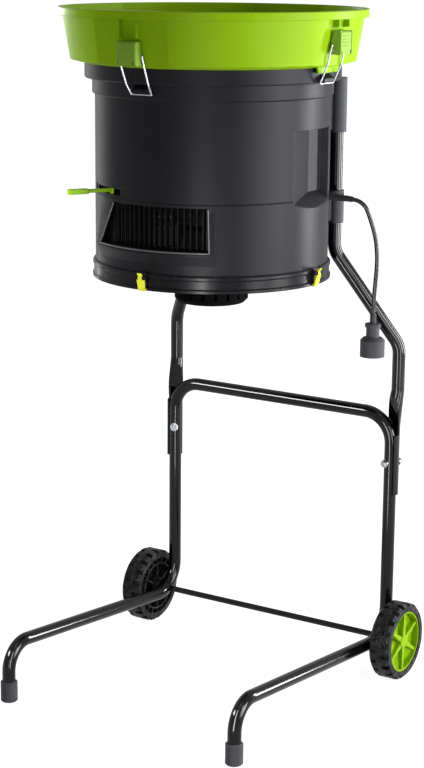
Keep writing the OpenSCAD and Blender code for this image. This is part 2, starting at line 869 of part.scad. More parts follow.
// Grille panel with bars, guide rails and blank cheeks
bar_pitch = (bars_to - bars_from) / bar_count;
grille_low = grille_z - rail_h;

module grille() {
    color(BLACK_PLASTIC) at_drum() {
        sector(rail_from, rail_to) polygon([
            [rail_r, grille_low], [panel_back_r, grille_low], [panel_back_r, grille_z],
            [shutter_r + shutter_gap, grille_z], [shutter_r + shutter_gap, grille_z - rail_groove],
            [shutter_in_r - shutter_gap, grille_z - rail_groove], [shutter_in_r - shutter_gap, grille_z],
            [rail_r, grille_z]]);
        sector(top_rail_from, panel_to) polygon([
            [shutter_r + shutter_gap, grille_top - over], [panel_back_r, grille_top - over],
            [panel_back_r, grille_top + rail_h - over], [rail_r, grille_top + rail_h - over],
            [rail_r, grille_top - over], [shutter_in_r - shutter_gap, grille_top - over],
            [shutter_in_r - shutter_gap, grille_top + rail_groove - over],
            [shutter_r + shutter_gap, grille_top + rail_groove - over]]);
        sector(panel_from, bars_from) translate([panel_in_r, grille_z - over])
            square([panel_t, grille_top - grille_z]);
        sector(bars_to, panel_to) translate([panel_in_r, grille_z - over])
            square([panel_t, grille_top - grille_z + over]);
        for (k = [1 : bar_count]) rotate([0, 0, bars_from + (k - 0.5) * bar_pitch])
            translate([-bar_w / 2, -panel_r, grille_z - over]) cube([bar_w, panel_t, grille_top - grille_z + over]);
        sector(panel_from, top_rail_from) translate([panel_in_r, grille_top - panel_t])
            square([panel_t, panel_t]);
    }
}

shutter_low = grille_z - rail_groove + shutter_gap;
shutter_top = grille_top + rail_groove - over - shutter_gap;
module shutter() {
    color(BLACK_PLASTIC) at_drum() difference() {
        union() {
            sector(shutter_from, shutter_to) translate([shutter_in_r, shutter_low])
                square([shutter_t, shutter_top - shutter_low]);
            sector(lever_angle - tab_half, lever_angle + tab_half)
                translate([shutter_in_r + tab_inset, shutter_top - shutter_lift])
                    square([shutter_t - 2 * tab_inset, lever_z + stem_foot_w / 2 - shutter_top + shutter_lift]);
        }
        for (k = [1 : bar_count - 1])
            sector(bars_from + (k - shutter_slot_share / 2) * bar_pitch, bars_from + (k + shutter_slot_share / 2) * bar_pitch)
                translate([shutter_in_r - over, grille_z + shutter_lift])
                    square([shutter_t + 2 * over, grille_top - grille_z - 2 * shutter_lift]);
    }
}

module shutter_lever() {
    color(GREEN) at_drum(lever_angle) translate([0, 0, lever_z]) {
        difference() {
            translate([-stem_foot_w / 2, -shutter_r - stem_foot_t, -stem_foot_w / 2])
                cube([stem_foot_w, 2 * stem_foot_t, stem_foot_w]);
            translate([0, 0, -stem_foot_w])
                cylinder(r = shutter_r - tab_inset, h = 2 * stem_foot_w, $fn = fine_fn);
        }
        translate([-stem_w / 2, -stem_r - over, -stem_h / 2]) cube([stem_w, stem_r - shutter_r, stem_h]);
        translate([-grip_w / 2, -grip_r + grip_w / 2, -grip_h / 2]) cube([grip_w, grip_r - stem_r - grip_w / 2, grip_h]);
        translate([0, -grip_r + grip_w / 2, -grip_h / 2]) cylinder(d = grip_w, h = grip_h);
    }
}

// Stay holders

module holder_web(z, h, reach) {
    difference() {
        at_drum(stay_angle) translate([-web_w / 2, -reach, z]) cube([web_w, reach - drum_r / 2, h]);
        at_drum() translate([0, 0, z - over]) cylinder(r = drum_r, h = h + 2 * over);
    }
}

module socket_right() {
    color(BLACK_PLASTIC) difference() {
        union() {
            translate([stay_x, stay_y, socket_z]) cylinder(r = socket_r, h = socket_h);
            holder_web(socket_z + web_margin, shoulder_z - socket_z - 2 * web_margin, stay_r);
        }
        translate([stay_x, stay_y, socket_z - over]) cylinder(r = tube_r + fit, h = socket_h - socket_cap + over);
        at_drum() translate([0, 0, shoulder_z]) cylinder(r = shoulder_r + fit, h = socket_h);
    }
}
module socket_left() mirror([1, 0, 0]) socket_right();

module sleeve_right() {
    color(BLACK_PLASTIC) difference() {
        union() {
            translate([stay_x, stay_y, sleeve_z]) cylinder(r = sleeve_r, h = sleeve_h);
            holder_web(sleeve_z + web_margin, sleeve_h - 2 * web_margin, stay_r);
        }
        translate([stay_x, stay_y, sleeve_z - over]) cylinder(r = tube_r + fit, h = sleeve_h + 2 * over);
        translate([0, stay_y, sleeve_bolt_z]) bar_x(sleeve_bolt_d / 2 + fit, 2 * stay_x);
        for (s = [0, 1]) translate([stay_x, stay_y, sleeve_bolt_z]) mirror([s, 0, 0])
            translate([sleeve_r - sleeve_spot, 0, 0])
                bar_x(sleeve_bolt_head_d / 2 + spot_room, 4 * sleeve_bolt_head_h);
    }
}
module sleeve_left() mirror([1, 0, 0]) sleeve_right();

module one_sleeve_bolt() {
    translate([stay_x, stay_y, sleeve_bolt_z]) {
        translate([-sleeve_r, 0, 0]) bar_x(sleeve_bolt_d / 2, 2 * sleeve_r);
        translate([sleeve_r - sleeve_spot, 0, 0]) hexagon(sleeve_bolt_head_d, sleeve_bolt_head_h);
        translate([-sleeve_r + sleeve_spot - sleeve_bolt_head_h, 0, 0])
            hexagon(sleeve_bolt_head_d, sleeve_bolt_head_h);
    }
}
module sleeve_bolts() {
    color(STEEL) {
        one_sleeve_bolt();
        mirror([1, 0, 0]) one_sleeve_bolt();
    }
}

// Hopper

module flat_cuts(inset) {
    for (k = [0 : latch_count - 1]) rotate([0, 0, k * 90]) translate([0, -flat_low_r + inset, hopper_foot_z])
        rotate([flat_slope, 0, 0]) translate([-hopper_rim_r, -hopper_rim_r, -hopper_h])
            cube([2 * hopper_rim_r, hopper_rim_r, 3 * hopper_h]);
}

module hopper_outside() {
    difference() {
        rotate_extrude() polygon([[0, drum_top], [hopper_seat_r, drum_top], [hopper_foot_r, hopper_foot_z],
            [hopper_top_r, hopper_top], [0, hopper_top]]);
        flat_cuts(0);
    }
}

module hopper_inside() {
    rise = (hopper_top_r - hopper_foot_r) / wall_h;
    difference() {
        rotate_extrude() polygon([[0, drum_top - over], [throat_r, drum_top - over],
            [throat_r, drum_top + hopper_wall], [hopper_seat_r, drum_top + hopper_wall],
            [hopper_foot_r - hopper_wall, hopper_foot_z + hopper_wall],
            [hopper_top_r - hopper_wall + rise * over, hopper_top + over], [0, hopper_top + over]]);
        flat_cuts(hopper_wall);
    }
}

// Latch positions in radius and height
function latch_shift(rise) = [rise * tan(flat_slope), rise];
function pin_at(rise) = [flat_low_r + pin_off + (pin_z - hopper_foot_z) * tan(flat_slope), pin_z] + latch_shift(rise);
function hinge_at(rise) = pin_at(rise) + [hinge_out, hinge_up];

module latch_mount(rise) {
    p = pin_at(rise);
    for (s = [-1, 1]) {
        translate([s * ear_half, 0, 0]) side_plate(ear_t) {
            translate(p) circle(r = ear_r, $fn = boss_fn);
            translate(p - [ear_in, ear_r]) square([ear_in, 2 * ear_r]);
        }
        rib_low = p[1] + lever_up + rib_gap;
        translate([s * rib_half, 0, 0]) side_plate(rib_t)
            polygon([[p[0] - ear_in, rib_low], [p[0] + rib_out, rib_low + rib_gap],
                [p[0] + rib_out, hopper_top - over], [p[0] - ear_in, hopper_top - over]]);
    }
}

module hopper_tongue() {
    low = drum_top - tongue_h;
    translate([0, -hopper_seat_r - tongue_gap, 0]) rotate([90, 0, 0]) linear_extrude(height = tongue_t)
        polygon([[-tongue_half, low], [tongue_half, low], [tongue_half + tongue_flare, drum_top + tongue_t],
            [-tongue_half - tongue_flare, drum_top + tongue_t]]);
}

module hopper() {
    color(GREEN) at_drum() difference() {
        union() {
            hopper_outside();
            translate([0, 0, hopper_top - rim_t]) cylinder(r = hopper_rim_r, h = rim_t);
            translate([0, 0, hopper_top - hopper_lip_h])
                ring(hopper_rim_r, hopper_rim_r - hopper_wall, hopper_lip_h);
            translate([0, 0, drum_top - spigot_h]) ring(spigot_r, spigot_r - spigot_t, spigot_h + over);
            for (k = [0, 2, 3]) rotate([0, 0, k * 90]) latch_mount(0);
            rotate([0, 0, 90]) {
                latch_mount(right_latch_rise);
                hopper_tongue();
            }
        }
        hopper_inside();
        for (k = [0 : latch_count - 1]) rotate([0, 0, k * 90]) pin_bar(k == 1 ? right_latch_rise : 0, pin_r, over);
    }
}

module pin_bar(rise, r, extra) {
    p = pin_at(rise);
    half = lever_half + extra;
    translate([-half, -p[0], p[1]]) rotate([0, 90, 0]) cylinder(r = r, h = 2 * half, $fn = wire_fn);
}

module latch_pins() {
    color(STEEL) at_drum() for (k = [0 : latch_count - 1]) rotate([0, 0, k * 90])
        pin_bar(k == 1 ? right_latch_rise : 0, pin_r, 0);
}

module latch_lever(rise) {
    p = pin_at(rise);
    difference() {
        union() {
            for (s = [-1, 1]) translate([s * (lever_half - flange_t / 2), 0, 0]) side_plate(flange_t)
                translate(p) {
                    circle(r = lever_boss_r, $fn = boss_fn);
                    polygon([[-lever_back, 0], [-lever_back, lever_knee], [hinge_out, lever_up],
                        [lever_out, lever_up], [lever_out, -lever_down], [lever_boss_r, -lever_down]]);
                }
            side_plate(2 * lever_half) translate(p)
                polygon([[lever_out - lever_t, -lever_down], [lever_out, -lever_down], [lever_out, lever_up - lever_bevel],
                    [lever_out - lever_bevel, lever_up], [hinge_out, lever_up], [hinge_out, lever_up - lever_t],
                    [lever_out - lever_t, lever_up - lever_t]]);
        }
        pin_bar(rise, pin_r + run_fit, over);
        translate([0, -hinge_at(rise)[0], hinge_at(rise)[1]]) rotate([0, 90, 0])
            cylinder(r = wire_r + run_fit, h = 4 * lever_half, center = true, $fn = wire_fn);
        for (s = [-1, 1]) translate([s * (lever_half - flange_t - notch_w / 2), -p[0] - lever_out, p[1] - lever_down])
            cube([notch_w, 3 * lever_t, 2 * notch_h], center = true);
    }
}

module latch_front() color(GREEN) at_drum(0) latch_lever(0);
module latch_right() color(GREEN) at_drum(90) latch_lever(right_latch_rise);
module latch_back() color(GREEN) at_drum(180) latch_lever(0);
module latch_left() color(GREEN) at_drum(270) latch_lever(0);

// Wire bail from the lever's hinge, round the hopper's foot, down to the hook
function place(half, p) = [half, -p[0], p[1]];
knee_out = 3.6;
module latch_bail(rise, hook) {
    w = hinge_at(rise);
    knee = [max(flat_low_r + knee_out, hook[0] + knee_out), hopper_foot_z - over];
    low = [max(hook[0], collar_r + knee_out), max(hook[1] + over, min(knee[1] - collar_h, collar_z - over))];
    for (s = [-1, 1]) scale_x(s) {
        tip = place(lever_half - flange_t - bail_tip, w);
        a = place(bail_half, w);
        b = place(bail_half, knee);
        c = place(bail_half - over, low);
        d = place(bail_hook_half, hook);
        rod(tip, a, wire_r);
        rod(a, b, wire_r);
        rod(b, c, wire_r);
        rod(c, d, wire_r);
        for (q = [a, b, c, d]) translate(q) sphere(r = wire_r + mark_t, $fn = wire_fn);
    }
    rod(place(-bail_hook_half, hook), place(bail_hook_half, hook), wire_r);
}
module scale_x(s) mirror([s < 0 ? 1 : 0, 0, 0]) children();

low_hook = [low_hook_r, low_hook_z];
high_hook = [high_hook_r, low_hook_z + right_latch_rise];
module bail_front() color(STEEL) at_drum(0) latch_bail(0, low_hook);
module bail_right() color(STEEL) at_drum(90) latch_bail(right_latch_rise, high_hook);
module bail_back() color(STEEL) at_drum(180) latch_bail(0, low_hook);
module bail_left() color(STEEL) at_drum(270) latch_bail(0, low_hook);

// Bag clips

clip_pin_at = [ring_lip_r + clip_pin_out, clip_pin_z];
module clip_frames() {
    inner = ring_lip_r;
    color(BLACK_PLASTIC) at_drum() for (k = [0 : clip_count - 1]) rotate([0, 0, k * 90]) difference() {
        union() {
            side_plate(2 * clip_frame_half) polygon([[ring_out_r - over, drum_seat_z + bead_slope + over],
                [inner + clip_t, drum_seat_z + bead_slope + over], [inner + clip_t, clip_pin_z + clip_up],
                [inner + clip_gap, clip_pin_z + clip_up], [inner + clip_gap, drum_z + ring_h - bead_h - bead_slope],
                [ring_out_r - over, drum_z + ring_h - bead_h - bead_slope]]);
            for (s = [-1, 1]) translate([s * (clip_frame_half - clip_ear_t / 2), 0, 0]) side_plate(clip_ear_t) {
                translate(clip_pin_at) circle(r = clip_eye_r, $fn = boss_fn);
                translate([inner + clip_t / 2, clip_pin_z - clip_eye_r]) square([clip_pin_out - clip_t / 2, 2 * clip_eye_r]);
            }
        }
        translate([0, -clip_pin_at[0], clip_pin_at[1]]) rotate([0, 90, 0])
            cylinder(r = clip_pin_r, h = 4 * clip_frame_half, center = true, $fn = wire_fn);
        cylinder(r = ring_out_r, h = drum_top, $fn = fine_fn);
    }
}

module clip_pins() {
    color(STEEL) at_drum() for (k = [0 : clip_count - 1]) rotate([0, 0, k * 90])
        translate([0, -clip_pin_at[0], clip_pin_at[1]]) rotate([0, 90, 0])
            cylinder(r = clip_pin_r, h = 2 * clip_frame_half, center = true, $fn = wire_fn);
}

clip_hub_half = clip_frame_half - clip_ear_t - clip_gap;
module clip_arm() {
    jaw = ring_lip_r + clip_gap;
    difference() {
        union() {
            intersection() {
                side_plate(clip_w_low) {
                    translate(clip_pin_at) polygon([[0, -clip_eye_r / 2], [clip_lean, clip_up],
                        [clip_lean - clip_t, clip_up], [-clip_t, clip_eye_r / 2]]);
                    polygon([[clip_pin_at[0] + clip_eye_r, clip_pin_z], [clip_pin_at[0], clip_pin_z + clip_eye_r],
                        [clip_pin_at[0] - clip_eye_r, clip_pin_z - clip_eye_r], [jaw + clip_t, drum_z + clip_t],
                        [jaw, drum_seat_z - over], [jaw, drum_z - over], [jaw + clip_t, drum_z - over],
                        [jaw + 2 * clip_t, drum_z + clip_t]]);
                }
                translate([0, 0, clip_pin_z]) rotate([90, 0, 0]) linear_extrude(height = 2 * drum_r)
                    polygon([[-clip_w_low / 2, -2 * clip_down], [clip_w_low / 2, -2 * clip_down],
                        [clip_w_low / 2, -clip_eye_r - clip_gap], [clip_hub_half, -clip_eye_r - clip_gap],
                        [clip_w_top / 2, clip_up], [-clip_w_top / 2, clip_up], [-clip_hub_half, -clip_eye_r - clip_gap],
                        [-clip_w_low / 2, -clip_eye_r - clip_gap]]);
            }
            side_plate(2 * (clip_w_top / 2)) translate(clip_pin_at) circle(r = clip_eye_r, $fn = boss_fn);
        }
        translate([0, -clip_pin_at[0], clip_pin_at[1]]) rotate([0, 90, 0])
            cylinder(r = clip_pin_r + run_fit, h = 4 * clip_frame_half, center = true, $fn = wire_fn);
    }
}
module clip_front() color(YELLOW) at_drum(0) clip_arm();
module clip_right() color(YELLOW) at_drum(90) clip_arm();
module clip_back() color(YELLOW) at_drum(180) clip_arm();
module clip_left() color(YELLOW) at_drum(270) clip_arm();

// Motor and cutter

module motor_mount() {
    color(BLACK_PLASTIC) at_drum() translate([0, 0, drum_seat_z]) {
        ring(mount_r, mount_r - mount_ring_w, mount_h);
        ring(hub_ring_r, motor_r + fit, mount_h);
        for (k = [0 : arm_count - 1]) rotate([0, 0, k * 360 / arm_count])
            translate([-arm_w / 2, -mount_r + mount_ring_w / 2, over])
                cube([arm_w, mount_r - mount_ring_w / 2 - motor_r - arm_seat, mount_h - 2 * over]);
    }
}

module motor_housing() {
    color(BLACK_PLASTIC) at_drum() rotate_extrude() polygon([
        [motor_r - motor_wall, motor_foot + end_plate_h], [motor_r, motor_foot + end_plate_h],
        [motor_r, drum_seat_z + mount_h], [hub_ring_r, drum_seat_z + mount_h],
        [hub_ring_r, drum_seat_z + mount_h + flange_h], [motor_r, drum_seat_z + mount_h + flange_h],
        [motor_r, motor_top], [shaft_d, motor_top], [shaft_d, motor_top - motor_wall],
        [bearing_r, motor_top - motor_wall], [bearing_r, motor_top - motor_wall - bearing_h],
        [bearing_r + boss_w, motor_top - motor_wall - bearing_h], [bearing_r + boss_w, motor_top - motor_wall],
        [motor_r - motor_wall, motor_top - motor_wall]]);
}

module motor_end_plate() {
    color(BLACK_PLASTIC) at_drum() translate([0, 0, motor_foot]) rotate_extrude() polygon([
        [shaft_d, 0], [motor_r, 0], [motor_r, end_plate_h], [bearing_r + boss_w, end_plate_h],
        [bearing_r + boss_w, motor_wall + bearing_h], [bearing_r, motor_wall + bearing_h],
        [bearing_r, motor_wall], [shaft_d, motor_wall]]);
}

stator_z = (motor_foot + motor_top - stator_h) / 2;
module motor_stator() {
    color(COPPER) at_drum() translate([0, 0, stator_z]) ring(stator_r, stator_in_r, stator_h);
}

module motor_bearings() {
    color(STEEL) at_drum() {
        translate([0, 0, motor_foot + motor_wall]) ring(bearing_r, shaft_d / 2 + run_fit, bearing_h);
        translate([0, 0, motor_top - motor_wall - bearing_h]) ring(bearing_r, shaft_d / 2 + run_fit, bearing_h);
    }
}

module motor_rotor() {
    color(STEEL) at_drum() {
        translate([0, 0, motor_foot + over]) cylinder(d = shaft_d, h = shaft_top - motor_foot - over);
        translate([0, 0, stator_z]) cylinder(r = core_r, h = stator_h);
    }
}

module motor_vent_cover() {
    low = motor_foot - cover_drop;
    color(BLACK_PLASTIC) at_drum() difference() {
        rotate_extrude() polygon([
            [0, low], [hub_ring_r - cover_step, low], [hub_ring_r, low + cover_step], [hub_ring_r, motor_foot],
            [hub_ring_r - cover_wall, motor_foot], [hub_ring_r - cover_wall, low + cover_step],
            [hub_ring_r - cover_step, low + cover_wall], [0, low + cover_wall]]);
        for (k = [0 : vent_slots - 1]) rotate([0, 0, k * 360 / vent_slots])
            translate([-vent_slot_w / 2, -2 * hub_ring_r, low + cover_step + cover_wall])
                cube([vent_slot_w, 2 * hub_ring_r, vent_slot_h]);
    }
}

module cutter_head() {
    color(STEEL) at_drum() translate([0, 0, head_z]) difference() {
        union() {
            cylinder(r = head_r, h = head_h);
            cylinder(r = head_step_r, h = head_h + over);
        }
        translate([0, 0, -over]) cylinder(d = shaft_d, h = head_h + 3 * over);
        for (k = [0 : line_count - 1]) rotate([0, 0, k * 360 / line_count])
            translate([0, -head_r + line_seat, head_h / 2]) rotate([90, 0, 0])
                cylinder(d = line_d, h = head_r, $fn = wire_fn);
    }
}

module cutter_lines() {
    color(RUBBER) at_drum() translate([0, 0, head_z + head_h / 2])
        for (k = [0 : line_count - 1]) rotate([0, 0, k * 360 / line_count])
            translate([0, -head_r + line_seat, 0]) rotate([90, 0, 0])
                cylinder(d = line_d, h = line_tip_r - head_r + line_seat, $fn = wire_fn);
}

module cutter_nut() {
    color(STEEL) at_drum() translate([0, 0, head_z + head_h + over]) difference() {
        cylinder(r = head_nut_r, h = head_nut_h, $fn = 6);
        translate([0, 0, -over]) cylinder(d = shaft_d, h = head_nut_h + 2 * over);
    }
}

// Switch on the back of the drum

module switch_box() {
    cave_w = switch_w - 2 * switch_wall;
    cave_h = switch_h - 2 * switch_wall;
    color(BLACK_PLASTIC) at_drum(180) difference() {
        translate([-switch_w / 2, -drum_r - switch_out, switch_z - switch_h / 2])
            cube([switch_w, switch_out + switch_in, switch_h]);
        translate([-cave_w / 2, -drum_r - 2 * switch_out, switch_z - cave_h / 2])
            cube([cave_w, 2 * switch_out + switch_in - switch_wall, cave_h]);
        rocker_axis(rocker_pin_r + run_fit, switch_w - switch_wall);
    }
}

module rocker_axis(r, w)
    translate([0, -drum_r - switch_out + rocker_t, switch_z]) rotate([0, 90, 0])
        cylinder(r = r, h = w, center = true, $fn = wire_fn);

module switch_rocker() {
    w = switch_w - 2 * switch_wall - 2 * rocker_gap;
    h = switch_h / 2 - switch_wall - 2 * rocker_gap;
    color(RUBBER) at_drum(180) {
        rocker_axis(rocker_boss_r, w);
        rocker_axis(rocker_pin_r, switch_w - switch_wall - 2 * rocker_gap);
        translate([0, -drum_r - switch_out + rocker_t, switch_z]) side_plate(w)
            polygon([[0, 0], [rocker_t - h * sin(rocker_tilt), -h * cos(rocker_tilt)], [rocker_t, 0],
                [rocker_t, h * cos(rocker_tilt)], [0, h * cos(rocker_tilt)]]);
    }
}

// Cord

module at_boot() rotate([0, 0, boot_angle]) translate([0, -drum_r, boot_z])
    rotate([90 + boot_droop, 0, 0]) children();

module cord_boot() {
    color(RUBBER) at_drum() at_boot() {
        translate([0, 0, -boot_in]) cylinder(r = boot_r, h = boot_in + over);
        cylinder(r1 = boot_r, r2 = boot_tip_r, h = boot_l);
        translate([0, 0, -boot_in]) cylinder(r = boot_flange_r, h = boot_flange_t);
    }
}

function unit(v) = v / norm(v);
function cord_way(k) = k == 0 ? [cos(boot_droop), -sin(boot_droop)]
    : k == cord_last ? [0, -1] : unit(cord_points[k + 1] - cord_points[k - 1]);
function cord_ring(k) = let (t = cord_way(k), n = [t[1], -t[0]]) [for (j = [0 : cord_sides - 1])
    let (a = j * 360 / cord_sides, p = cord_points[k] + cord_r * cos(a) * n) [cord_r * sin(a), -p[0], p[1]]];
cord_skin = [for (k = [0 : cord_last]) each cord_ring(k)];
cord_sides_faces = [for (k = [0 : cord_last - 1]) for (j = [0 : cord_sides - 1])
    let (m = (j + 1) % cord_sides, a = k * cord_sides)
    each [[a + j, a + m, a + cord_sides + m], [a + j, a + cord_sides + m, a + cord_sides + j]]];
cord_caps = [[for (j = [0 : cord_sides - 1]) cord_sides - 1 - j],
    [for (j = [0 : cord_sides - 1]) cord_last * cord_sides + j]];

module cord() {
    color(RUBBER) at_drum(boot_angle)
        polyhedron(points = cord_skin, faces = concat(cord_sides_faces, cord_caps));
}

module at_plug() at_drum(boot_angle) translate([0, -cord_end[0], cord_end[1]]) children();
plug_l = relief_h + plug_collar_h + plug_neck_h + plug_cap_h;

module plug_body() {
    collar_top = -relief_h;
    neck_top = collar_top - plug_collar_h;
    cap_top = neck_top - plug_neck_h;
    color(RUBBER) at_plug() {
        rotate_extrude() polygon([
            [0, 0], [relief_r - relief_rib_w, 0], [relief_r - relief_rib_w, collar_top],
            [plug_collar_r, collar_top], [plug_collar_r, neck_top], [plug_neck_r, neck_top],
            [plug_neck_r, cap_top], [plug_r - plug_cap_bevel, cap_top], [plug_r, cap_top - plug_cap_bevel],
            [plug_r, -plug_l], [plug_r - plug_shroud, -plug_l],
            [plug_r - plug_shroud, -plug_l + plug_cavity_h], [0, -plug_l + plug_cavity_h]]);
        for (k = [0 : relief_ribs - 1]) translate([0, 0, -relief_h + (k + 0.5) * relief_h / (relief_ribs + 0.5)])
            ring(relief_r, relief_r - 2 * relief_rib_w, relief_h / (2 * relief_ribs));
    }
}

module plug_blades() {
    color(STEEL) at_plug() for (s = [-1, 1])
        translate([s * blade_gap / 2, 0, -plug_l + plug_cavity_h - blade_l / 2])
            cube([blade_thick, blade_w, blade_l], center = true);
}

lower_frame();
stay_left();
stay_right();
foot_cap_left();
foot_cap_right();
axle();
axle_nuts();
frame_bolts();
drum();
base_ring();
grille();
socket_left();
socket_right();
sleeve_left();
sleeve_right();
sleeve_bolts();
motor_mount();
motor_housing();
motor_end_plate();
motor_stator();
motor_bearings();
motor_vent_cover();
hopper();
latch_pins();
clip_frames();
clip_pins();
switch_box();
cord_boot();
cord();
plug_body();
plug_blades();
wheel_left();
wheel_right();
hub_cover_left();
hub_cover_right();
motor_rotor();
cutter_head();
cutter_lines();
cutter_nut();
shutter();
shutter_lever();
latch_front();
latch_right();
latch_back();
latch_left();
bail_front();
bail_right();
bail_back();
bail_left();
clip_front();
clip_right();
clip_back();
clip_left();
switch_rocker();
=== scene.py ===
# A leaf shredder: a green hopper latched on a black drum, carried on a bent-tube stand with wheels.
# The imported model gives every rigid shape; this script adds the studio, the cord, finishes and fine pieces.
import math

import bpy
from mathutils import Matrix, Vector


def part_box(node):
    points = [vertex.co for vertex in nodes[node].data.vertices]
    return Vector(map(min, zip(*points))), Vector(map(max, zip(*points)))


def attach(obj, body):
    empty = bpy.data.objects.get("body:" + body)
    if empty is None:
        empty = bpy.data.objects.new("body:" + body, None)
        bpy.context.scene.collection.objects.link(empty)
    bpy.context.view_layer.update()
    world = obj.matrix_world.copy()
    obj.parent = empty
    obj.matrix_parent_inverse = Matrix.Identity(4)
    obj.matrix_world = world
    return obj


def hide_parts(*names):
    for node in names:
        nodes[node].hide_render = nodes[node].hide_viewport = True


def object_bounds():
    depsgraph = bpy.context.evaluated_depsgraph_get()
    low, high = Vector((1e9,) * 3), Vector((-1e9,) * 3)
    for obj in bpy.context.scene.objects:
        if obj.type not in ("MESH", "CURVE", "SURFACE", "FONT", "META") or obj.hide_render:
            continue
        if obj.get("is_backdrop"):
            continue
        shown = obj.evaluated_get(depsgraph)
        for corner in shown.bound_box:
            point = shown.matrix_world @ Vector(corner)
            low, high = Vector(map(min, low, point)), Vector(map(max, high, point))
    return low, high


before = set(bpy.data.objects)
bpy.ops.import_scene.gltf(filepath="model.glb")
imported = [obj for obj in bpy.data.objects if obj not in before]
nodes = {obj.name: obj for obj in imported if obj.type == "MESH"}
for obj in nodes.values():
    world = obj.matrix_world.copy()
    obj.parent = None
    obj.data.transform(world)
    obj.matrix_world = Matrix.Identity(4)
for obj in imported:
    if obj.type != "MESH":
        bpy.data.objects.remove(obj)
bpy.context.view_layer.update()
bpy.ops.object.select_all(action="DESELECT")

# Studio: a white paper floor and white surroundings, as in a catalogue photograph.
# The floor glows a little to the lens, so it reads as white and still keeps a faint contact shadow.
scene = bpy.context.scene
scene.view_settings.view_transform = "Standard"


def linear(hex_colour):
    """sRGB hex to a linear colour with full alpha."""
    parts = [int(hex_colour[k:k + 2], 16) / 255 for k in (1, 3, 5)]
    return [p / 12.92 if p <= 0.04045 else ((p + 0.055) / 1.055) ** 2.4 for p in parts] + [1.0]


def add(tree, kind, inputs=None, links=None, **settings):
    """A node of that kind with its settings, input values and incoming links."""
    made = tree.nodes.new(kind)
    for name, value in settings.items():
        setattr(made, name, value)
    for name, value in (inputs or {}).items():
        made.inputs[name].default_value = value
    for name, source in (links or {}).items():
        tree.links.new(source, made.inputs[name])
    return made


def empty_material(name):
    """A material with an empty node tree."""
    made = bpy.data.materials.new(name)
    made.use_nodes = True
    made.node_tree.nodes.clear()
    return made, made.node_tree


# Gloss mirrors the white at this strength, as from paper that stands further off than the floor shows
mirror_share = 0.65
fill_strength = 0.13
world = bpy.data.worlds.new("white_studio")
scene.world = world
world.use_nodes = True
sky = world.node_tree
sky.nodes.clear()
rays = add(sky, "ShaderNodeLightPath")
glossy = add(sky, "ShaderNodeMath", operation="MAXIMUM",
             links={0: rays.outputs["Is Glossy Ray"], 1: rays.outputs["Is Transmission Ray"]})
fill_light = add(sky, "ShaderNodeBackground", inputs={"Color": linear("#f4f6fa"), "Strength": fill_strength})
white_back = add(sky, "ShaderNodeBackground", inputs={"Color": linear("#ffffff"), "Strength": 1.0})
mirror_white = add(sky, "ShaderNodeBackground",
                   inputs={"Color": linear("#ffffff"), "Strength": mirror_share})
mirror_mix = add(sky, "ShaderNodeMixShader",
                 links={0: glossy.outputs[0], 1: fill_light.outputs[0], 2: mirror_white.outputs[0]})
sky_mix = add(sky, "ShaderNodeMixShader",
              links={0: rays.outputs["Is Camera Ray"], 1: mirror_mix.outputs[0], 2: white_back.outputs[0]})
add(sky, "ShaderNodeOutputWorld", links={"Surface": sky_mix.outputs[0]})

# The paper rises from a slight grey near the object to plain white, over these distances in metres
floor_size = 40
sweep_near = 0.7
sweep_far = 2.4
near_white = 0.86
bpy.ops.mesh.primitive_plane_add(size=floor_size, location=(0, 0, 0))
floor = bpy.context.active_object
floor.name = "floor"
paper, tree = empty_material("white_paper_floor")
place = add(tree, "ShaderNodeTexCoord")
away = add(tree, "ShaderNodeVectorMath", operation="LENGTH", links={0: place.outputs["Object"]})
sweep = add(tree, "ShaderNodeMapRange",
            inputs={"From Min": sweep_near, "From Max": sweep_far, "To Min": near_white, "To Max": 1.0},
            links={"Value": away.outputs["Value"]})
rays = add(tree, "ShaderNodeLightPath")
matt = add(tree, "ShaderNodeBsdfDiffuse", inputs={"Color": linear("#e6e6e6")})
dim = add(tree, "ShaderNodeBsdfDiffuse", inputs={"Color": linear("#b4b4b4")})
mirrored = add(tree, "ShaderNodeMath", operation="MAXIMUM",
               links={0: rays.outputs["Is Glossy Ray"], 1: rays.outputs["Is Transmission Ray"]})
level = add(tree, "ShaderNodeMapRange", inputs={"To Min": 1.0, "To Max": mirror_share},
            links={"Value": mirrored.outputs[0]})
strength = add(tree, "ShaderNodeMath", operation="MULTIPLY",
               links={0: sweep.outputs["Result"], 1: level.outputs["Result"]})
glow = add(tree, "ShaderNodeEmission", inputs={"Color": linear("#ffffff")},
           links={"Strength": strength.outputs[0]})
lit = add(tree, "ShaderNodeAddShader", links={0: glow.outputs[0], 1: dim.outputs[0]})
looked_at = add(tree, "ShaderNodeMath", operation="MAXIMUM",
                links={0: rays.outputs["Is Camera Ray"], 1: mirrored.outputs[0]})
seen = add(tree, "ShaderNodeMixShader",
           links={0: looked_at.outputs[0], 1: matt.outputs[0], 2: lit.outputs[0]})
add(tree, "ShaderNodeOutputMaterial", links={"Surface": seen.outputs[0]})
floor.data.materials.append(paper)
floor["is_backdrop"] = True


def soft_lamp(name, place, aim, wide, high, power, matt=True, gloss=True, only=()):
    """A soft box aimed at a spot; it lights matt skin, gloss or both, and may be flagged to a few nodes."""
    bpy.ops.object.light_add(type="AREA", location=place)
    lamp = bpy.context.active_object
    lamp.name = name
    lamp.data.shape = "RECTANGLE"
    lamp.data.size = wide
    lamp.data.size_y = high
    lamp.data.energy = power
    lamp.rotation_euler = (Vector(aim) - Vector(place)).to_track_quat("-Z", "Y").to_euler()
    lamp.visible_camera = False
    lamp.visible_diffuse = matt
    lamp.visible_glossy = gloss
    if only:
        lit = bpy.data.collections.new(name + "_lights")
        for node in only:
            lit.objects.link(nodes[node])
        lamp.light_linking.receiver_collection = lit


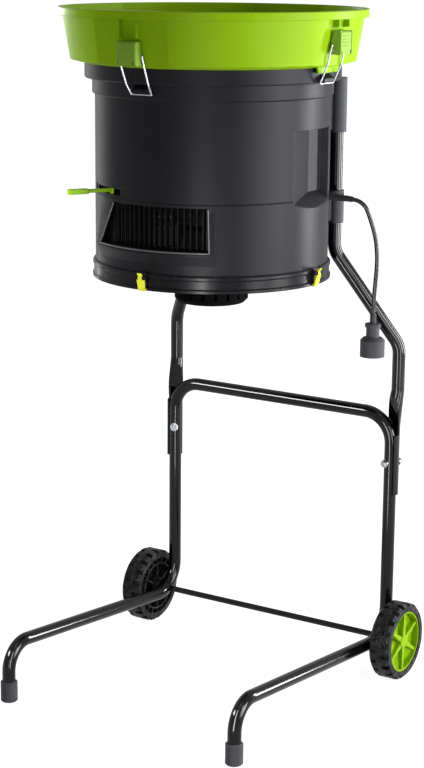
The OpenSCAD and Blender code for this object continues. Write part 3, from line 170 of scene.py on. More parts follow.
# Places and sizes in metres, power in watts
soft_lamp("key_right", (3.26, 0.58, 1.0), (0, 0, 0.8), wide=1.1, high=1.6, power=96)
soft_lamp("edge_right", (2.1, 2.5, 0.95), (0, 0, 0.8), wide=0.4, high=1.6, power=88)
soft_lamp("rim_left", (-2.9, 0.9, 1.0), (0, 0, 0.8), wide=0.3, high=1.6, power=8,
          only=["drum", "base_ring"])
soft_lamp("fill_left", (-3.0, 0.0, 1.3), (0, 0, 0.9), wide=1.2, high=1.2, power=52, gloss=False)
soft_lamp("front_strip", (1.55, -3.65, 0.85), (0, 0, 0.7), wide=0.6, high=1.5, power=18)
soft_lamp("glint_front", (0.35, -0.75, 0.4), (0.0, 0.25, 0.4), wide=0.12, high=0.8, power=8, matt=False)
soft_lamp("glint_left", (-1.07, -1.36, 1.29), (0, 0.2, 0.65), wide=0.9, high=0.4, power=50, matt=False,
          only=["lower_frame"])
soft_lamp("glint_right", (1.25, -0.34, 0.75), (0, 0, 0.8), wide=0.35, high=0.9, power=8, matt=False)
soft_lamp("glint_rim", (-2.6, 1.3, 1.27), (0, 0, 1.27), wide=1.6, high=0.3, power=30, matt=False,
          only=["hopper"])
soft_lamp("fill_small", (-1.0, -2.4, 1.1), (0, -0.2, 0.9), wide=0.8, high=0.8, power=40, gloss=False,
          only=["clip_front", "clip_right", "clip_back", "clip_left", "shutter_lever"])
soft_lamp("top_soft", (0.9, -1.2, 4.0), (0, 0, 0.5), wide=1.4, high=1.4, power=8)

# The camera is fitted to the photograph: sensor and lens in mm, place in metres, angles in degrees
sensor_width = 36
lens_length = 88.42
camera_place = (1.8800, -2.8659, 1.3891)
look_down = 13.123
look_left = 33.124
camera_roll = 0.472
far_limit = 60
camera_data = bpy.data.cameras.new("catalogue_lens")
camera_data.sensor_width = sensor_width
camera_data.lens = lens_length
camera_data.clip_end = far_limit
camera = bpy.data.objects.new("camera", camera_data)
scene.collection.objects.link(camera)
camera.location = camera_place
camera.rotation_euler = (math.radians(90 - look_down), 0, math.radians(look_left))
camera.rotation_euler.rotate_axis("Z", math.radians(camera_roll))
scene.camera = camera

# Stand: the lower frame, two stays and the axle, of steel tube and bar, bent cold and bolted together.
# They have a gloss black powder coat, which levels to a faint orange peel.
# Highlights run along the tubes as bright lines.


def dress(material, *names):
    """One finish on a list of CAD nodes."""
    for name in names:
        nodes[name].data.materials.clear()
        nodes[name].data.materials.append(material)


coat, tree = empty_material("gloss_black_powder_coat")
place = add(tree, "ShaderNodeTexCoord")
# Orange peel of about 3 mm, cloudy gloss of about 30 mm
peel = add(tree, "ShaderNodeTexNoise", inputs={"Scale": 1 / 0.003, "Detail": 1.0},
           links={"Vector": place.outputs["Object"]})
cloud = add(tree, "ShaderNodeTexNoise", inputs={"Scale": 1 / 0.03, "Detail": 2.0},
            links={"Vector": place.outputs["Object"]})
tone = add(tree, "ShaderNodeValToRGB", links={"Fac": cloud.outputs["Fac"]})
tone.color_ramp.elements[0].color = linear("#060607")
tone.color_ramp.elements[1].color = linear("#0c0c0d")
gloss = add(tree, "ShaderNodeMapRange", inputs={"To Min": 0.08, "To Max": 0.14},
            links={"Value": cloud.outputs["Fac"]})
skin = add(tree, "ShaderNodeBump", inputs={"Strength": 0.02, "Distance": 0.0002},
           links={"Height": peel.outputs["Fac"]})
body = add(tree, "ShaderNodeBsdfPrincipled", inputs={"IOR": 1.5, "Specular IOR Level": 0.3},
           links={"Base Color": tone.outputs["Color"], "Roughness": gloss.outputs["Result"],
                  "Normal": skin.outputs["Normal"]})
add(tree, "ShaderNodeOutputMaterial", links={"Surface": body.outputs[0]})
dress(coat, "lower_frame", "stay_left", "stay_right", "axle")

# Foot caps and plug: grey PVC, the caps pushed on the tube's ends and the plug moulded on the lead.
# Their moulds are blasted, and the fine grain scatters the light, so they look greyer than the lead.
grey_pvc, tree = empty_material("blasted_grey_pvc")
place = add(tree, "ShaderNodeTexCoord")
# Blast grain of about 1.4 mm, coarser than real so that it shows; scuffs of about 15 mm
blast = add(tree, "ShaderNodeTexNoise", inputs={"Scale": 1 / 0.0014, "Detail": 3.0},
            links={"Vector": place.outputs["Object"]})
scuff = add(tree, "ShaderNodeTexNoise", inputs={"Scale": 1 / 0.015, "Detail": 4.0},
            links={"Vector": place.outputs["Object"]})
tone = add(tree, "ShaderNodeValToRGB", links={"Fac": scuff.outputs["Fac"]})
tone.color_ramp.elements[0].color = linear("#39393c")
tone.color_ramp.elements[1].color = linear("#4b4b50")
dull = add(tree, "ShaderNodeMapRange", inputs={"To Min": 0.55, "To Max": 0.72},
           links={"Value": blast.outputs["Fac"]})
skin = add(tree, "ShaderNodeBump", inputs={"Strength": 0.3, "Distance": 0.0004},
           links={"Height": blast.outputs["Fac"]})
body = add(tree, "ShaderNodeBsdfPrincipled", inputs={"IOR": 1.5, "Specular IOR Level": 0.25},
           links={"Base Color": tone.outputs["Color"], "Roughness": dull.outputs["Result"],
                  "Normal": skin.outputs["Normal"]})
add(tree, "ShaderNodeOutputMaterial", links={"Surface": body.outputs[0]})
dress(grey_pvc, "plug_body", "foot_cap_left", "foot_cap_right")

# Bolts, nuts, pins and bails: drawn, headed and turned steel with bright zinc plating.
# The plating is bright with a slightly cloudy spangle; the rotor and its bearings share the finish.
zinc, tree = empty_material("bright_zinc_steel")
place = add(tree, "ShaderNodeTexCoord")
# Spangle of about 3 mm, scratch grain of about 0.8 mm
spangle = add(tree, "ShaderNodeTexNoise", inputs={"Scale": 1 / 0.003, "Detail": 3.0},
              links={"Vector": place.outputs["Object"]})
scratch = add(tree, "ShaderNodeTexNoise", inputs={"Scale": 1 / 0.0008, "Detail": 1.0},
              links={"Vector": place.outputs["Object"]})
tone = add(tree, "ShaderNodeValToRGB", links={"Fac": spangle.outputs["Fac"]})
tone.color_ramp.elements[0].color = linear("#8b8d92")
tone.color_ramp.elements[1].color = linear("#bcbec3")
gloss = add(tree, "ShaderNodeMapRange", inputs={"To Min": 0.2, "To Max": 0.36},
            links={"Value": scratch.outputs["Fac"]})
body = add(tree, "ShaderNodeBsdfPrincipled", inputs={"Metallic": 1.0},
           links={"Base Color": tone.outputs["Color"], "Roughness": gloss.outputs["Result"]})
add(tree, "ShaderNodeOutputMaterial", links={"Surface": body.outputs[0]})
dress(zinc, "axle_nuts", "frame_bolts", "sleeve_bolts", "latch_pins", "clip_pins", "cutter_nut",
      "bail_front", "bail_right", "bail_back", "bail_left", "motor_rotor", "motor_bearings")

# Wheels: one-piece blow-moulded black polyethylene with chunky shoulder lugs, free on the axle.
# The tread is pebbled in the mould, so it glints in small specks.
tread, tree = empty_material("pebbled_black_polyethylene")
place = add(tree, "ShaderNodeTexCoord")
# Pebbles of about 3.5 mm, dust of about 12 mm
pebble = add(tree, "ShaderNodeTexVoronoi", inputs={"Scale": 1 / 0.0035},
             links={"Vector": place.outputs["Object"]})
dust = add(tree, "ShaderNodeTexNoise", inputs={"Scale": 1 / 0.012, "Detail": 4.0},
           links={"Vector": place.outputs["Object"]})
tone = add(tree, "ShaderNodeValToRGB", links={"Fac": dust.outputs["Fac"]})
tone.color_ramp.elements[0].position = 0.38
tone.color_ramp.elements[1].position = 0.66
tone.color_ramp.elements[0].color = linear("#070708")
tone.color_ramp.elements[1].color = linear("#38383b")
dull = add(tree, "ShaderNodeMapRange", inputs={"To Min": 0.26, "To Max": 0.55},
           links={"Value": dust.outputs["Fac"]})
edge = add(tree, "ShaderNodeBevel", inputs={"Radius": 0.0015}, samples=4)
skin = add(tree, "ShaderNodeBump", inputs={"Strength": 0.7, "Distance": 0.0012},
           links={"Height": pebble.outputs["Distance"], "Normal": edge.outputs["Normal"]})
body = add(tree, "ShaderNodeBsdfPrincipled", inputs={"IOR": 1.5, "Specular IOR Level": 0.13},
           links={"Base Color": tone.outputs["Color"], "Roughness": dull.outputs["Result"],
                  "Normal": skin.outputs["Normal"]})
add(tree, "ShaderNodeOutputMaterial", links={"Surface": body.outputs[0]})
dress(tread, "wheel_left", "wheel_right")

# Drum, with the switch, the motor's mount, housing and end plate, and the clip frames.
# All are injection-moulded black polypropylene; a fine eroded grain gives a soft grey sheen.
# The tone drifts a little with the flow of the melt.
moulded, tree = empty_material("moulded_black_polypropylene")
place = add(tree, "ShaderNodeTexCoord")
# Flow marks of about 70 mm, stretched upright; grain of about 1.6 mm, coarser than real so that it shows
stretch = add(tree, "ShaderNodeMapping", inputs={"Scale": (1, 1, 0.35)},
              links={"Vector": place.outputs["Object"]})
flow = add(tree, "ShaderNodeTexNoise", inputs={"Scale": 1 / 0.07, "Detail": 5.0},
           links={"Vector": stretch.outputs["Vector"]})
grain = add(tree, "ShaderNodeTexNoise", inputs={"Scale": 1 / 0.0016, "Detail": 2.0},
            links={"Vector": place.outputs["Object"]})
tone = add(tree, "ShaderNodeValToRGB", links={"Fac": flow.outputs["Fac"]})
tone.color_ramp.elements[0].color = linear("#151519")
tone.color_ramp.elements[1].color = linear("#202026")
gloss = add(tree, "ShaderNodeMapRange", inputs={"To Min": 0.36, "To Max": 0.48},
            links={"Value": flow.outputs["Fac"]})
edge = add(tree, "ShaderNodeBevel", inputs={"Radius": 0.002}, samples=4)
skin = add(tree, "ShaderNodeBump", inputs={"Strength": 0.14, "Distance": 0.0004},
           links={"Height": grain.outputs["Fac"], "Normal": edge.outputs["Normal"]})
body = add(tree, "ShaderNodeBsdfPrincipled", inputs={"IOR": 1.49, "Specular IOR Level": 0.13},
           links={"Base Color": tone.outputs["Color"], "Roughness": gloss.outputs["Result"],
                  "Normal": skin.outputs["Normal"]})
add(tree, "ShaderNodeOutputMaterial", links={"Surface": body.outputs[0]})
dress(moulded, "drum", "switch_box", "switch_rocker", "motor_mount", "motor_housing", "motor_end_plate",
      "clip_frames")

# Sockets and sleeves that hold the stays: thick-walled, in the drum's black polypropylene.
# Their lighter grey is painted light for the brighter light they catch beside the drum; the skin is set
# duller than the drum's.
painted_light_black, tree = empty_material("painted_light_black_polypropylene")
place = add(tree, "ShaderNodeTexCoord")
# Clouds of about 40 mm
cloud = add(tree, "ShaderNodeTexNoise", inputs={"Scale": 1 / 0.04, "Detail": 4.0},
            links={"Vector": place.outputs["Object"]})
# The lighter grey tone is painted light
tone = add(tree, "ShaderNodeValToRGB", links={"Fac": cloud.outputs["Fac"]})
tone.color_ramp.elements[0].color = linear("#393a40")
tone.color_ramp.elements[1].color = linear("#46474d")
gloss = add(tree, "ShaderNodeMapRange", inputs={"To Min": 0.44, "To Max": 0.56},
            links={"Value": cloud.outputs["Fac"]})
edge = add(tree, "ShaderNodeBevel", inputs={"Radius": 0.002}, samples=4)
body = add(tree, "ShaderNodeBsdfPrincipled", inputs={"IOR": 1.49, "Specular IOR Level": 0.15},
           links={"Base Color": tone.outputs["Color"], "Roughness": gloss.outputs["Result"],
                  "Normal": edge.outputs["Normal"]})
add(tree, "ShaderNodeOutputMaterial", links={"Surface": body.outputs[0]})
dress(painted_light_black, "socket_left", "socket_right", "sleeve_left", "sleeve_right")

# Grille: a moulded insert of upright bars, in the same polypropylene, from a satin tool.
# Its near-black tone is painted shade for the scoop's shade, so it reads as near black with faint glints
# along the bars.
painted_shade_satin_black, tree = empty_material("painted_shade_satin_polypropylene")
place = add(tree, "ShaderNodeTexCoord")
# Cloudy gloss of about 20 mm
cloud = add(tree, "ShaderNodeTexNoise", inputs={"Scale": 1 / 0.02, "Detail": 3.0},
            links={"Vector": place.outputs["Object"]})
# The near-black tone is painted shade
tone = add(tree, "ShaderNodeValToRGB", links={"Fac": cloud.outputs["Fac"]})
tone.color_ramp.elements[0].color = linear("#050506")
tone.color_ramp.elements[1].color = linear("#0d0d0e")
gloss = add(tree, "ShaderNodeMapRange", inputs={"To Min": 0.42, "To Max": 0.54},
            links={"Value": cloud.outputs["Fac"]})
edge = add(tree, "ShaderNodeBevel", inputs={"Radius": 0.0008}, samples=4)
body = add(tree, "ShaderNodeBsdfPrincipled", inputs={"IOR": 1.49, "Specular IOR Level": 0.1},
           links={"Base Color": tone.outputs["Color"], "Roughness": gloss.outputs["Result"],
                  "Normal": edge.outputs["Normal"]})
add(tree, "ShaderNodeOutputMaterial", links={"Surface": body.outputs[0]})
dress(painted_shade_satin_black, "grille")

# Shutter behind the bars and vent cover under the motor: thin mouldings, blasted dead matt.
# Their tone, darker than the drum's, is painted shade, and they have almost no sheen, so the gaps between the
# bars read as plain black.
dead_matt_painted_shade, tree = empty_material("dead_matt_painted_shade_polypropylene")
place = add(tree, "ShaderNodeTexCoord")
# Blast clouds of about 12 mm
cloud = add(tree, "ShaderNodeTexNoise", inputs={"Scale": 1 / 0.012, "Detail": 3.0},
            links={"Vector": place.outputs["Object"]})
# The darker tone is painted shade behind the bars
tone = add(tree, "ShaderNodeValToRGB", links={"Fac": cloud.outputs["Fac"]})
tone.color_ramp.elements[0].color = linear("#0a0a0b")
tone.color_ramp.elements[1].color = linear("#131314")
body = add(tree, "ShaderNodeBsdfPrincipled",
           inputs={"IOR": 1.49, "Roughness": 0.8, "Specular IOR Level": 0.02},
           links={"Base Color": tone.outputs["Color"]})
add(tree, "ShaderNodeOutputMaterial", links={"Surface": body.outputs[0]})
dress(dead_matt_painted_shade, "shutter", "motor_vent_cover")

# Base ring: moulded in the drum's plastic in a polished tool, with a bead and a lip that the bag grips.
# The polish puts a thin bright line along the crest of each bead.
polished, tree = empty_material("polished_black_polypropylene")
place = add(tree, "ShaderNodeTexCoord")
# Handling marks of about 25 mm
marks = add(tree, "ShaderNodeTexNoise", inputs={"Scale": 1 / 0.025, "Detail": 4.0},
            links={"Vector": place.outputs["Object"]})
tone = add(tree, "ShaderNodeValToRGB", links={"Fac": marks.outputs["Fac"]})
tone.color_ramp.elements[0].color = linear("#121215")
tone.color_ramp.elements[1].color = linear("#1e1e23")
gloss = add(tree, "ShaderNodeMapRange", inputs={"To Min": 0.2, "To Max": 0.34},
            links={"Value": marks.outputs["Fac"]})
edge = add(tree, "ShaderNodeBevel", inputs={"Radius": 0.0015}, samples=4)
body = add(tree, "ShaderNodeBsdfPrincipled", inputs={"IOR": 1.49, "Specular IOR Level": 0.13},
           links={"Base Color": tone.outputs["Color"], "Roughness": gloss.outputs["Result"],
                  "Normal": edge.outputs["Normal"]})
add(tree, "ShaderNodeOutputMaterial", links={"Surface": body.outputs[0]})
dress(polished, "base_ring")

# Bead round the scoop's window: a thin rounded edge moulded with the drum, on three sides.
# Its pale grey is a painted highlight for the bright line along the edge, and it is set shinier than the
# wall.
# Metres: the drum's axis in depth, the scoop's height and radius at foot and head, and the window's corners
drum_y = 0.010761
scoop_foot = (0.864, 0.222)
scoop_head = (0.946, 0.213)
window_turn = math.radians(4.5)
window_path = [(-0.0930, 0.944), (-0.1270, 0.8692), (-0.060, 0.8690), (0.020, 0.8690), (0.1020, 0.8692),
               (0.0960, 0.944)]
bead_radius = 0.0013
bead_steps = 16
bead_smooth = math.radians(50)


def on_scoop(across, height):
    """A point of the scoop's slanted face, from its place across the window and its height."""
    share = (height - scoop_foot[0]) / (scoop_head[0] - scoop_foot[0])
    radius = scoop_foot[1] + share * (scoop_head[1] - scoop_foot[1])
    ahead = math.sqrt(radius ** 2 - across ** 2)
    return Vector((across * math.cos(window_turn) + ahead * math.sin(window_turn),
                   drum_y + across * math.sin(window_turn) - ahead * math.cos(window_turn), height))


bead_points = []
for start, stop in zip(window_path, window_path[1:]):
    for k in range(bead_steps):
        bead_points.append(on_scoop(start[0] + (stop[0] - start[0]) * k / bead_steps,
                                    start[1] + (stop[1] - start[1]) * k / bead_steps))
bead_points.append(on_scoop(*window_path[-1]))
bead_curve = bpy.data.curves.new("scoop_bead", "CURVE")
bead_curve.dimensions = "3D"
bead_curve.bevel_depth = bead_radius
bead_curve.bevel_resolution = 3
bead_curve.use_fill_caps = True
line = bead_curve.splines.new("POLY")
line.points.add(len(bead_points) - 1)
for point, spot in zip(line.points, bead_points):
    point.co = (*spot, 1)
scoop_bead = bpy.data.objects.new("scoop_bead", bead_curve)
scene.collection.objects.link(scoop_bead)
bpy.ops.object.select_all(action="DESELECT")
scoop_bead.select_set(True)
bpy.context.view_layer.objects.active = scoop_bead
bpy.ops.object.convert(target="MESH")
bpy.ops.object.shade_smooth_by_angle(angle=bead_smooth)
scoop_bead = bpy.context.active_object
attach(scoop_bead, "machine")
painted_highlight_pale, tree = empty_material("painted_highlight_pale_polypropylene")
place = add(tree, "ShaderNodeTexCoord")
# Mottle of about 5 mm in the painted highlight
pale_mottle = add(tree, "ShaderNodeTexNoise", inputs={"Scale": 1 / 0.005, "Detail": 3.0},
          links={"Vector": place.outputs["Object"]})
# The pale grey tone is a painted highlight along the bead's edge
tone = add(tree, "ShaderNodeValToRGB", links={"Fac": pale_mottle.outputs["Fac"]})
tone.color_ramp.elements[0].color = linear("#5c5c60")
tone.color_ramp.elements[1].color = linear("#8c8c90")
gloss = add(tree, "ShaderNodeMapRange", inputs={"To Min": 0.25, "To Max": 0.4},
            links={"Value": pale_mottle.outputs["Fac"]})
body = add(tree, "ShaderNodeBsdfPrincipled", inputs={"IOR": 1.49, "Specular IOR Level": 0.4},
           links={"Base Color": tone.outputs["Color"], "Roughness": gloss.outputs["Result"]})
add(tree, "ShaderNodeOutputMaterial", links={"Surface": body.outputs[0]})
scoop_bead.data.materials.append(painted_highlight_pale)

# Motor windings: enamelled copper on an iron stack, dipped in varnish.
# Round turns of wire show as fine rings, painted as light on the crowns and painted shade in the grooves
# between them; the varnish makes them brown and wet.
winding, tree = empty_material("varnished_copper_winding")
place = add(tree, "ShaderNodeTexCoord")
# The wave repeats at 0.31 of 3.8 mm: wire of 1.2 mm, drawn coarser than the real 0.5 mm so that it shows
turns = add(tree, "ShaderNodeTexWave", inputs={"Scale": 1 / 0.0038, "Distortion": 1.5},
            bands_direction="Z", links={"Vector": place.outputs["Object"]})
# The dark bands are painted shade between turns and the light ones painted light on the crowns
tone = add(tree, "ShaderNodeValToRGB", links={"Fac": turns.outputs["Fac"]})
tone.color_ramp.elements[0].color = linear("#4a2a18")
tone.color_ramp.elements[1].color = linear("#9a5a30")
body = add(tree, "ShaderNodeBsdfPrincipled", inputs={"Metallic": 0.7, "Roughness": 0.35},
           links={"Base Color": tone.outputs["Color"]})
add(tree, "ShaderNodeOutputMaterial", links={"Surface": body.outputs[0]})
dress(winding, "motor_stator")

# Cutter head: a turned steel disc, blackened in oil, held on the shaft by a nut.
# The oxide is dark and satin, with faint turning marks.
oxide, tree = empty_material("blackened_turned_steel")
place = add(tree, "ShaderNodeTexCoord")
# Turning marks of about 2 mm, coarser than real so that they show
marks = add(tree, "ShaderNodeTexNoise", inputs={"Scale": 1 / 0.002, "Detail": 2.0},
            links={"Vector": place.outputs["Object"]})
tone = add(tree, "ShaderNodeValToRGB", links={"Fac": marks.outputs["Fac"]})
tone.color_ramp.elements[0].color = linear("#0c0c0d")
tone.color_ramp.elements[1].color = linear("#1b1b1d")
dull = add(tree, "ShaderNodeMapRange", inputs={"To Min": 0.5, "To Max": 0.65},
           links={"Value": marks.outputs["Fac"]})
body = add(tree, "ShaderNodeBsdfPrincipled", inputs={"Metallic": 0.6},
           links={"Base Color": tone.outputs["Color"], "Roughness": dull.outputs["Result"]})
add(tree, "ShaderNodeOutputMaterial", links={"Surface": body.outputs[0]})
dress(oxide, "cutter_head")

# Cutter lines: extruded nylon cord, set in the cutter head.
# Its dark smoke grey is painted shade for the drum's dark inside, with a faint haze; it is smooth, so it
# shines softly along its length.
nylon, tree = empty_material("painted_shade_nylon_line")
place = add(tree, "ShaderNodeTexCoord")
# Haze of about 10 mm
haze = add(tree, "ShaderNodeTexNoise", inputs={"Scale": 1 / 0.01, "Detail": 2.0},
           links={"Vector": place.outputs["Object"]})
# The dark tone is painted shade for the drum's dark inside
tone = add(tree, "ShaderNodeValToRGB", links={"Fac": haze.outputs["Fac"]})
tone.color_ramp.elements[0].color = linear("#1d1b1a")
tone.color_ramp.elements[1].color = linear("#2f2c2a")
body = add(tree, "ShaderNodeBsdfPrincipled", inputs={"IOR": 1.53, "Roughness": 0.3},
           links={"Base Color": tone.outputs["Color"]})
add(tree, "ShaderNodeOutputMaterial", links={"Surface": body.outputs[0]})
dress(nylon, "cutter_lines")

# Bag clips: small yellow acetal levers, moulded, on steel pins.
# Acetal is waxy, so its highlight is soft and its colour slightly uneven.
acetal, tree = empty_material("yellow_acetal")
place = add(tree, "ShaderNodeTexCoord")
# Uneven tone of about 8 mm
uneven = add(tree, "ShaderNodeTexNoise", inputs={"Scale": 1 / 0.008, "Detail": 3.0},
             links={"Vector": place.outputs["Object"]})
tone = add(tree, "ShaderNodeValToRGB", links={"Fac": uneven.outputs["Fac"]})
tone.color_ramp.elements[0].color = linear("#d6dc1a")
tone.color_ramp.elements[1].color = linear("#e9ec34")
edge = add(tree, "ShaderNodeBevel", inputs={"Radius": 0.0008}, samples=4)
body = add(tree, "ShaderNodeBsdfPrincipled", inputs={"IOR": 1.48, "Roughness": 0.42},
           links={"Base Color": tone.outputs["Color"], "Normal": edge.outputs["Normal"]})
add(tree, "ShaderNodeOutputMaterial", links={"Surface": body.outputs[0]})
dress(acetal, "clip_front", "clip_right", "clip_back", "clip_left")

# Mains lead: a short pigtail that leaves the drum through a moulded boot and hangs to its plug.
# Round PVC sheath, extruded, 8 mm: near black with a faint mottle, and smooth, so it shines.
# The whole lead shows in the photograph, so its length is what hangs there.
boot_angle = math.radians(125)
lead_radius = 0.004
# The boot's tip as radius and height in mm, and the route from there as reach outward and drop in mm
lead_tip = (258.55, 935.60)
lead_route = [(0, 0), (9.65, 2.85), (18.00, 8.39), (23.79, 15.17), (26.80, 20.91), (31.10, 32.11),
              (35.70, 45.39), (40.11, 59.71), (43.71, 75.31), (45.90, 91.21), (47.01, 107.11),
              (47.01, 123.08), (46.31, 139.10), (45.20, 155.00), (44.09, 171.02), (43.30, 186.99),
              (42.90, 201.01), (42.90, 212.98)]


def from_drum(radius, angle, height):
    """A point in metres from a radius and height in mm and an angle from the front."""
    return Vector((radius * math.sin(angle) / 1000, drum_y - radius * math.cos(angle) / 1000, height / 1000))


lead_points = [from_drum(lead_tip[0] + reach, boot_angle, lead_tip[1] - drop) for reach, drop in lead_route]
lead_curve = bpy.data.curves.new("mains_lead", "CURVE")
lead_curve.dimensions = "3D"
lead_curve.bevel_depth = lead_radius
lead_curve.bevel_resolution = 4
lead_curve.use_fill_caps = True
lead_curve.resolution_u = 6
line = lead_curve.splines.new("BEZIER")
line.bezier_points.add(len(lead_points) - 1)
for k, point in enumerate(line.bezier_points):
    before = lead_points[max(k - 1, 0)]
    after = lead_points[min(k + 1, len(lead_points) - 1)]
    way = (after - before).normalized()
    point.co = lead_points[k]
    point.handle_left = lead_points[k] - way * (lead_points[k] - before).length / 3
    point.handle_right = lead_points[k] + way * (after - lead_points[k]).length / 3
mains_lead = bpy.data.objects.new("mains_lead", lead_curve)
scene.collection.objects.link(mains_lead)
bpy.ops.object.select_all(action="DESELECT")
mains_lead.select_set(True)
bpy.context.view_layer.objects.active = mains_lead
bpy.ops.object.convert(target="MESH")
bpy.ops.object.shade_smooth()
mains_lead = bpy.context.active_object
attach(mains_lead, "machine")
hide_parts("cord")
pvc, tree = empty_material("soft_pvc_black")
place = add(tree, "ShaderNodeTexCoord")
# Mottle of about 6 mm, grain of about 1 mm
mottle = add(tree, "ShaderNodeTexNoise", inputs={"Scale": 1 / 0.006, "Detail": 3.0},
             links={"Vector": place.outputs["Object"]})
grain = add(tree, "ShaderNodeTexNoise", inputs={"Scale": 1 / 0.001, "Detail": 2.0},
            links={"Vector": place.outputs["Object"]})
tone = add(tree, "ShaderNodeValToRGB", links={"Fac": mottle.outputs["Fac"]})
tone.color_ramp.elements[0].color = linear("#08080a")
tone.color_ramp.elements[1].color = linear("#101012")
gloss = add(tree, "ShaderNodeMapRange", inputs={"To Min": 0.14, "To Max": 0.18},
            links={"Value": mottle.outputs["Fac"]})
skin = add(tree, "ShaderNodeBump", inputs={"Strength": 0.03, "Distance": 0.0003},
           links={"Height": grain.outputs["Fac"]})
body = add(tree, "ShaderNodeBsdfPrincipled", inputs={"IOR": 1.5, "Specular IOR Level": 0.32},
           links={"Base Color": tone.outputs["Color"], "Roughness": gloss.outputs["Result"],
                  "Normal": skin.outputs["Normal"]})
add(tree, "ShaderNodeOutputMaterial", links={"Surface": body.outputs[0]})
mains_lead.data.materials.append(pvc)
dress(pvc, "cord_boot")

# Plug blades: plain folded brass strip, moulded into the plug.
# The brass is bright, with faint rolling streaks along each blade.
brass, tree = empty_material("folded_brass")
place = add(tree, "ShaderNodeTexCoord")
# Rolling streaks of about 1.5 mm across and long along the blade
stretch = add(tree, "ShaderNodeMapping", inputs={"Scale": (1, 1, 0.1)},
              links={"Vector": place.outputs["Object"]})
streak = add(tree, "ShaderNodeTexNoise", inputs={"Scale": 1 / 0.0015, "Detail": 2.0},
             links={"Vector": stretch.outputs["Vector"]})
tone = add(tree, "ShaderNodeValToRGB", links={"Fac": streak.outputs["Fac"]})
tone.color_ramp.elements[0].color = linear("#c8ae62")
tone.color_ramp.elements[1].color = linear("#e0c97e")
dull = add(tree, "ShaderNodeMapRange", inputs={"To Min": 0.24, "To Max": 0.4},
           links={"Value": streak.outputs["Fac"]})
body = add(tree, "ShaderNodeBsdfPrincipled", inputs={"Metallic": 1.0},
           links={"Base Color": tone.outputs["Color"], "Roughness": dull.outputs["Result"]})
add(tree, "ShaderNodeOutputMaterial", links={"Surface": body.outputs[0]})
dress(brass, "plug_blades")

# Hopper, hub covers and setting lever: glossy lime ABS from polished tools, in three tones: the covers'
# darker lime is painted shade, the lever's lighter lime painted light.
# The colour is deep and even, with slight flow clouds and a clear highlight along the edges.
# The hopper's wall is lofted, so its flats run softly into the round instead of meeting it at a line.


def lime_abs(name, dark_end, light_end, lofted):
    """The lime finish; a lofted one turns the outer wall's normal most of the way to the round."""
    lime, tree = empty_material(name)
    place = add(tree, "ShaderNodeTexCoord")
    # Clouds of about 90 mm, skin ripple of about 5 mm
    cloud = add(tree, "ShaderNodeTexNoise", inputs={"Scale": 1 / 0.09, "Detail": 3.0},
                links={"Vector": place.outputs["Object"]})
    ripple = add(tree, "ShaderNodeTexNoise", inputs={"Scale": 1 / 0.005, "Detail": 2.0},
                 links={"Vector": place.outputs["Object"]})
    tone = add(tree, "ShaderNodeValToRGB", links={"Fac": cloud.outputs["Fac"]})
    tone.color_ramp.elements[0].color = linear(dark_end)
    tone.color_ramp.elements[1].color = linear(light_end)
    gloss = add(tree, "ShaderNodeMapRange", inputs={"To Min": 0.32, "To Max": 0.44},
                links={"Value": cloud.outputs["Fac"]})
    edge = add(tree, "ShaderNodeBevel", inputs={"Radius": 0.003}, samples=6)
    facing = edge.outputs["Normal"]
    if lofted:
        centred = add(tree, "ShaderNodeVectorMath", operation="SUBTRACT", inputs={1: (0, drum_y, 0)},
                      links={0: place.outputs["Object"]})
        flat = add(tree, "ShaderNodeVectorMath", operation="MULTIPLY", inputs={1: (1, 1, 0)},
                   links={0: centred.outputs["Vector"]})
        outward = add(tree, "ShaderNodeVectorMath", operation="NORMALIZE", links={0: flat.outputs["Vector"]})
        agree = add(tree, "ShaderNodeVectorMath", operation="DOT_PRODUCT",
                    links={0: facing, 1: outward.outputs["Vector"]})
        # The turn sets in between these cosines to the round, so ribs and rim keep their own edges
        share = add(tree, "ShaderNodeMapRange",
                    inputs={"From Min": 0.84, "From Max": 0.92, "To Min": 0.0, "To Max": 0.9},
                    links={"Value": agree.outputs["Value"]})
        lean = add(tree, "ShaderNodeVectorMath", operation="MULTIPLY", inputs={1: (0, 0, 1)},
                   links={0: facing})
        round_wall = add(tree, "ShaderNodeVectorMath", operation="ADD",
                         links={0: outward.outputs["Vector"], 1: lean.outputs["Vector"]})
        change = add(tree, "ShaderNodeVectorMath", operation="SUBTRACT",
                     links={0: round_wall.outputs["Vector"], 1: facing})
        part_way = add(tree, "ShaderNodeVectorMath", operation="SCALE",
                       links={0: change.outputs["Vector"], "Scale": share.outputs["Result"]})
        turned = add(tree, "ShaderNodeVectorMath", operation="ADD",
                     links={0: facing, 1: part_way.outputs["Vector"]})
        unit = add(tree, "ShaderNodeVectorMath", operation="NORMALIZE", links={0: turned.outputs["Vector"]})
        facing = unit.outputs["Vector"]
    skin = add(tree, "ShaderNodeBump", inputs={"Strength": 0.05, "Distance": 0.0003},
               links={"Height": ripple.outputs["Fac"], "Normal": facing})
    body = add(tree, "ShaderNodeBsdfPrincipled", inputs={"IOR": 1.53, "Specular IOR Level": 0.06},
               links={"Base Color": tone.outputs["Color"], "Roughness": gloss.outputs["Result"],
                      "Normal": skin.outputs["Normal"]})
    add(tree, "ShaderNodeOutputMaterial", links={"Surface": body.outputs[0]})
    return lime


dress(lime_abs("lofted_lime_abs", "#8cb908", "#99c410", lofted=True), "hopper")
# The hub covers' darker lime is painted shade
dress(lime_abs("painted_shade_lime_abs", "#7ca50a", "#88b00f", lofted=False), "hub_cover_left", "hub_cover_right")
# The lever's lighter lime is painted light
dress(lime_abs("painted_light_lime_abs", "#a4d822", "#b2e234", lofted=False), "shutter_lever")

# Latch levers: glass-filled nylon in a greyer green, moulded, each on a steel hinge pin.
# The glass fibres dull the skin, so the levers look flatter than the hopper.
latch_green, tree = empty_material("grey_green_filled_nylon")
place = add(tree, "ShaderNodeTexCoord")
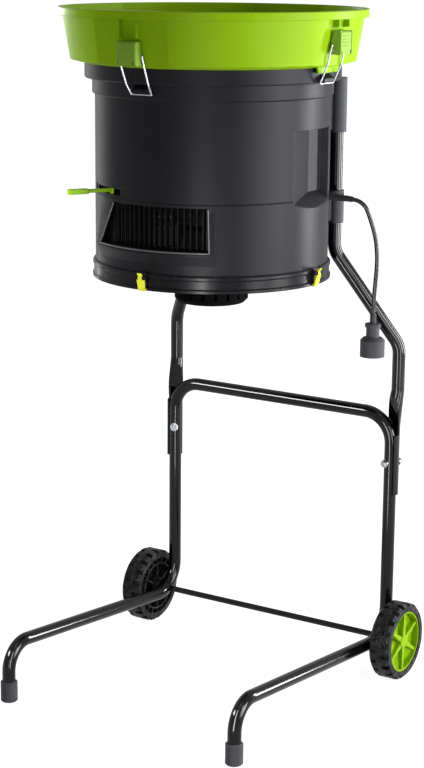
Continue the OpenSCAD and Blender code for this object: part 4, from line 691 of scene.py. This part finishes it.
# Fibre streaks of about 4 mm, stretched along the lever
stretch = add(tree, "ShaderNodeMapping", inputs={"Scale": (1, 1, 0.3)},
              links={"Vector": place.outputs["Object"]})
fibre = add(tree, "ShaderNodeTexNoise", inputs={"Scale": 1 / 0.004, "Detail": 4.0},
            links={"Vector": stretch.outputs["Vector"]})
tone = add(tree, "ShaderNodeValToRGB", links={"Fac": fibre.outputs["Fac"]})
tone.color_ramp.elements[0].color = linear("#84ad36")
tone.color_ramp.elements[1].color = linear("#93bb44")
dull = add(tree, "ShaderNodeMapRange", inputs={"To Min": 0.46, "To Max": 0.6},
           links={"Value": fibre.outputs["Fac"]})
edge = add(tree, "ShaderNodeBevel", inputs={"Radius": 0.0012}, samples=4)
skin = add(tree, "ShaderNodeBump", inputs={"Strength": 0.1, "Distance": 0.0003},
           links={"Height": fibre.outputs["Fac"], "Normal": edge.outputs["Normal"]})
body = add(tree, "ShaderNodeBsdfPrincipled", inputs={"IOR": 1.53, "Specular IOR Level": 0.12},
           links={"Base Color": tone.outputs["Color"], "Roughness": dull.outputs["Result"],
                  "Normal": skin.outputs["Normal"]})
add(tree, "ShaderNodeOutputMaterial", links={"Surface": body.outputs[0]})
dress(latch_green, "latch_front", "latch_right", "latch_back", "latch_left")

# Grip ribs and edge bands on each lever: four low rounded bars across its face and one band up each side.
# They are moulded with the lever, in its nylon, and are sunk 1.9 mm into its face.
# The ribs stand 0.7 mm proud of it and the bands 1.1 mm.
grip_size = (0.026, 0.0026, 0.0022)
grip_count = 4
grip_pitch = 0.0055
grip_proud = 0.0007
band_size = (0.0032, 0.0030, 0.036)
band_count = 2
band_place = 0.0188
band_proud = 0.0011
bar_round = 0.0009
bar_smooth = math.radians(40)
# Kind, size, count, step from bar to bar, first bar's place across and up the face, how far it stands proud
lever_bars = [
    ("grip", grip_size, grip_count, (0, 0, grip_pitch), (0, -grip_pitch), grip_proud),
    ("band", band_size, band_count, (2 * band_place, 0, 0), (-band_place, 0), band_proud),
]
for side, degrees in (("front", 0), ("right", 90), ("back", 180), ("left", 270)):
    low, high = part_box("latch_" + side)
    middle = (Vector(low) + Vector(high)) / 2
    reach = {"front": middle.y - low[1], "back": high[1] - middle.y, "left": middle.x - low[0],
             "right": high[0] - middle.x}[side]
    turn = math.radians(degrees)
    outward = Vector((math.sin(turn), -math.cos(turn), 0))
    along = Vector((math.cos(turn), math.sin(turn), 0))
    upward = Vector((0, 0, 1))
    for kind, size, count, step, first, proud in lever_bars:
        bpy.ops.object.select_all(action="DESELECT")
        bpy.ops.mesh.primitive_cube_add(size=1, location=(0, 0, 0))
        bar = bpy.context.active_object
        bar.name = "latch_%s_%s" % (kind, side)
        bpy.ops.object.mode_set(mode="EDIT")
        bpy.ops.mesh.select_all(action="SELECT")
        bpy.ops.transform.resize(value=size, center_override=(0, 0, 0))
        bpy.ops.mesh.bevel(offset=bar_round, segments=3, affect="EDGES")
        bpy.ops.object.mode_set(mode="OBJECT")
        row = bar.modifiers.new("row", "ARRAY")
        row.count = count
        row.use_relative_offset = False
        row.use_constant_offset = True
        row.constant_offset_displace = step
        bpy.ops.object.modifier_apply(modifier="row")
        stand = reach + proud - size[1] / 2
        bar.rotation_euler = (0, 0, turn)
        bar.location = middle + outward * stand + along * first[0] + upward * first[1]
        bpy.ops.object.transform_apply(location=True, rotation=True, scale=True)
        bpy.ops.object.shade_smooth_by_angle(angle=bar_smooth)
        bar.data.materials.append(latch_green)
        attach(bar, "latch_%s_body" % side)

low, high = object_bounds()
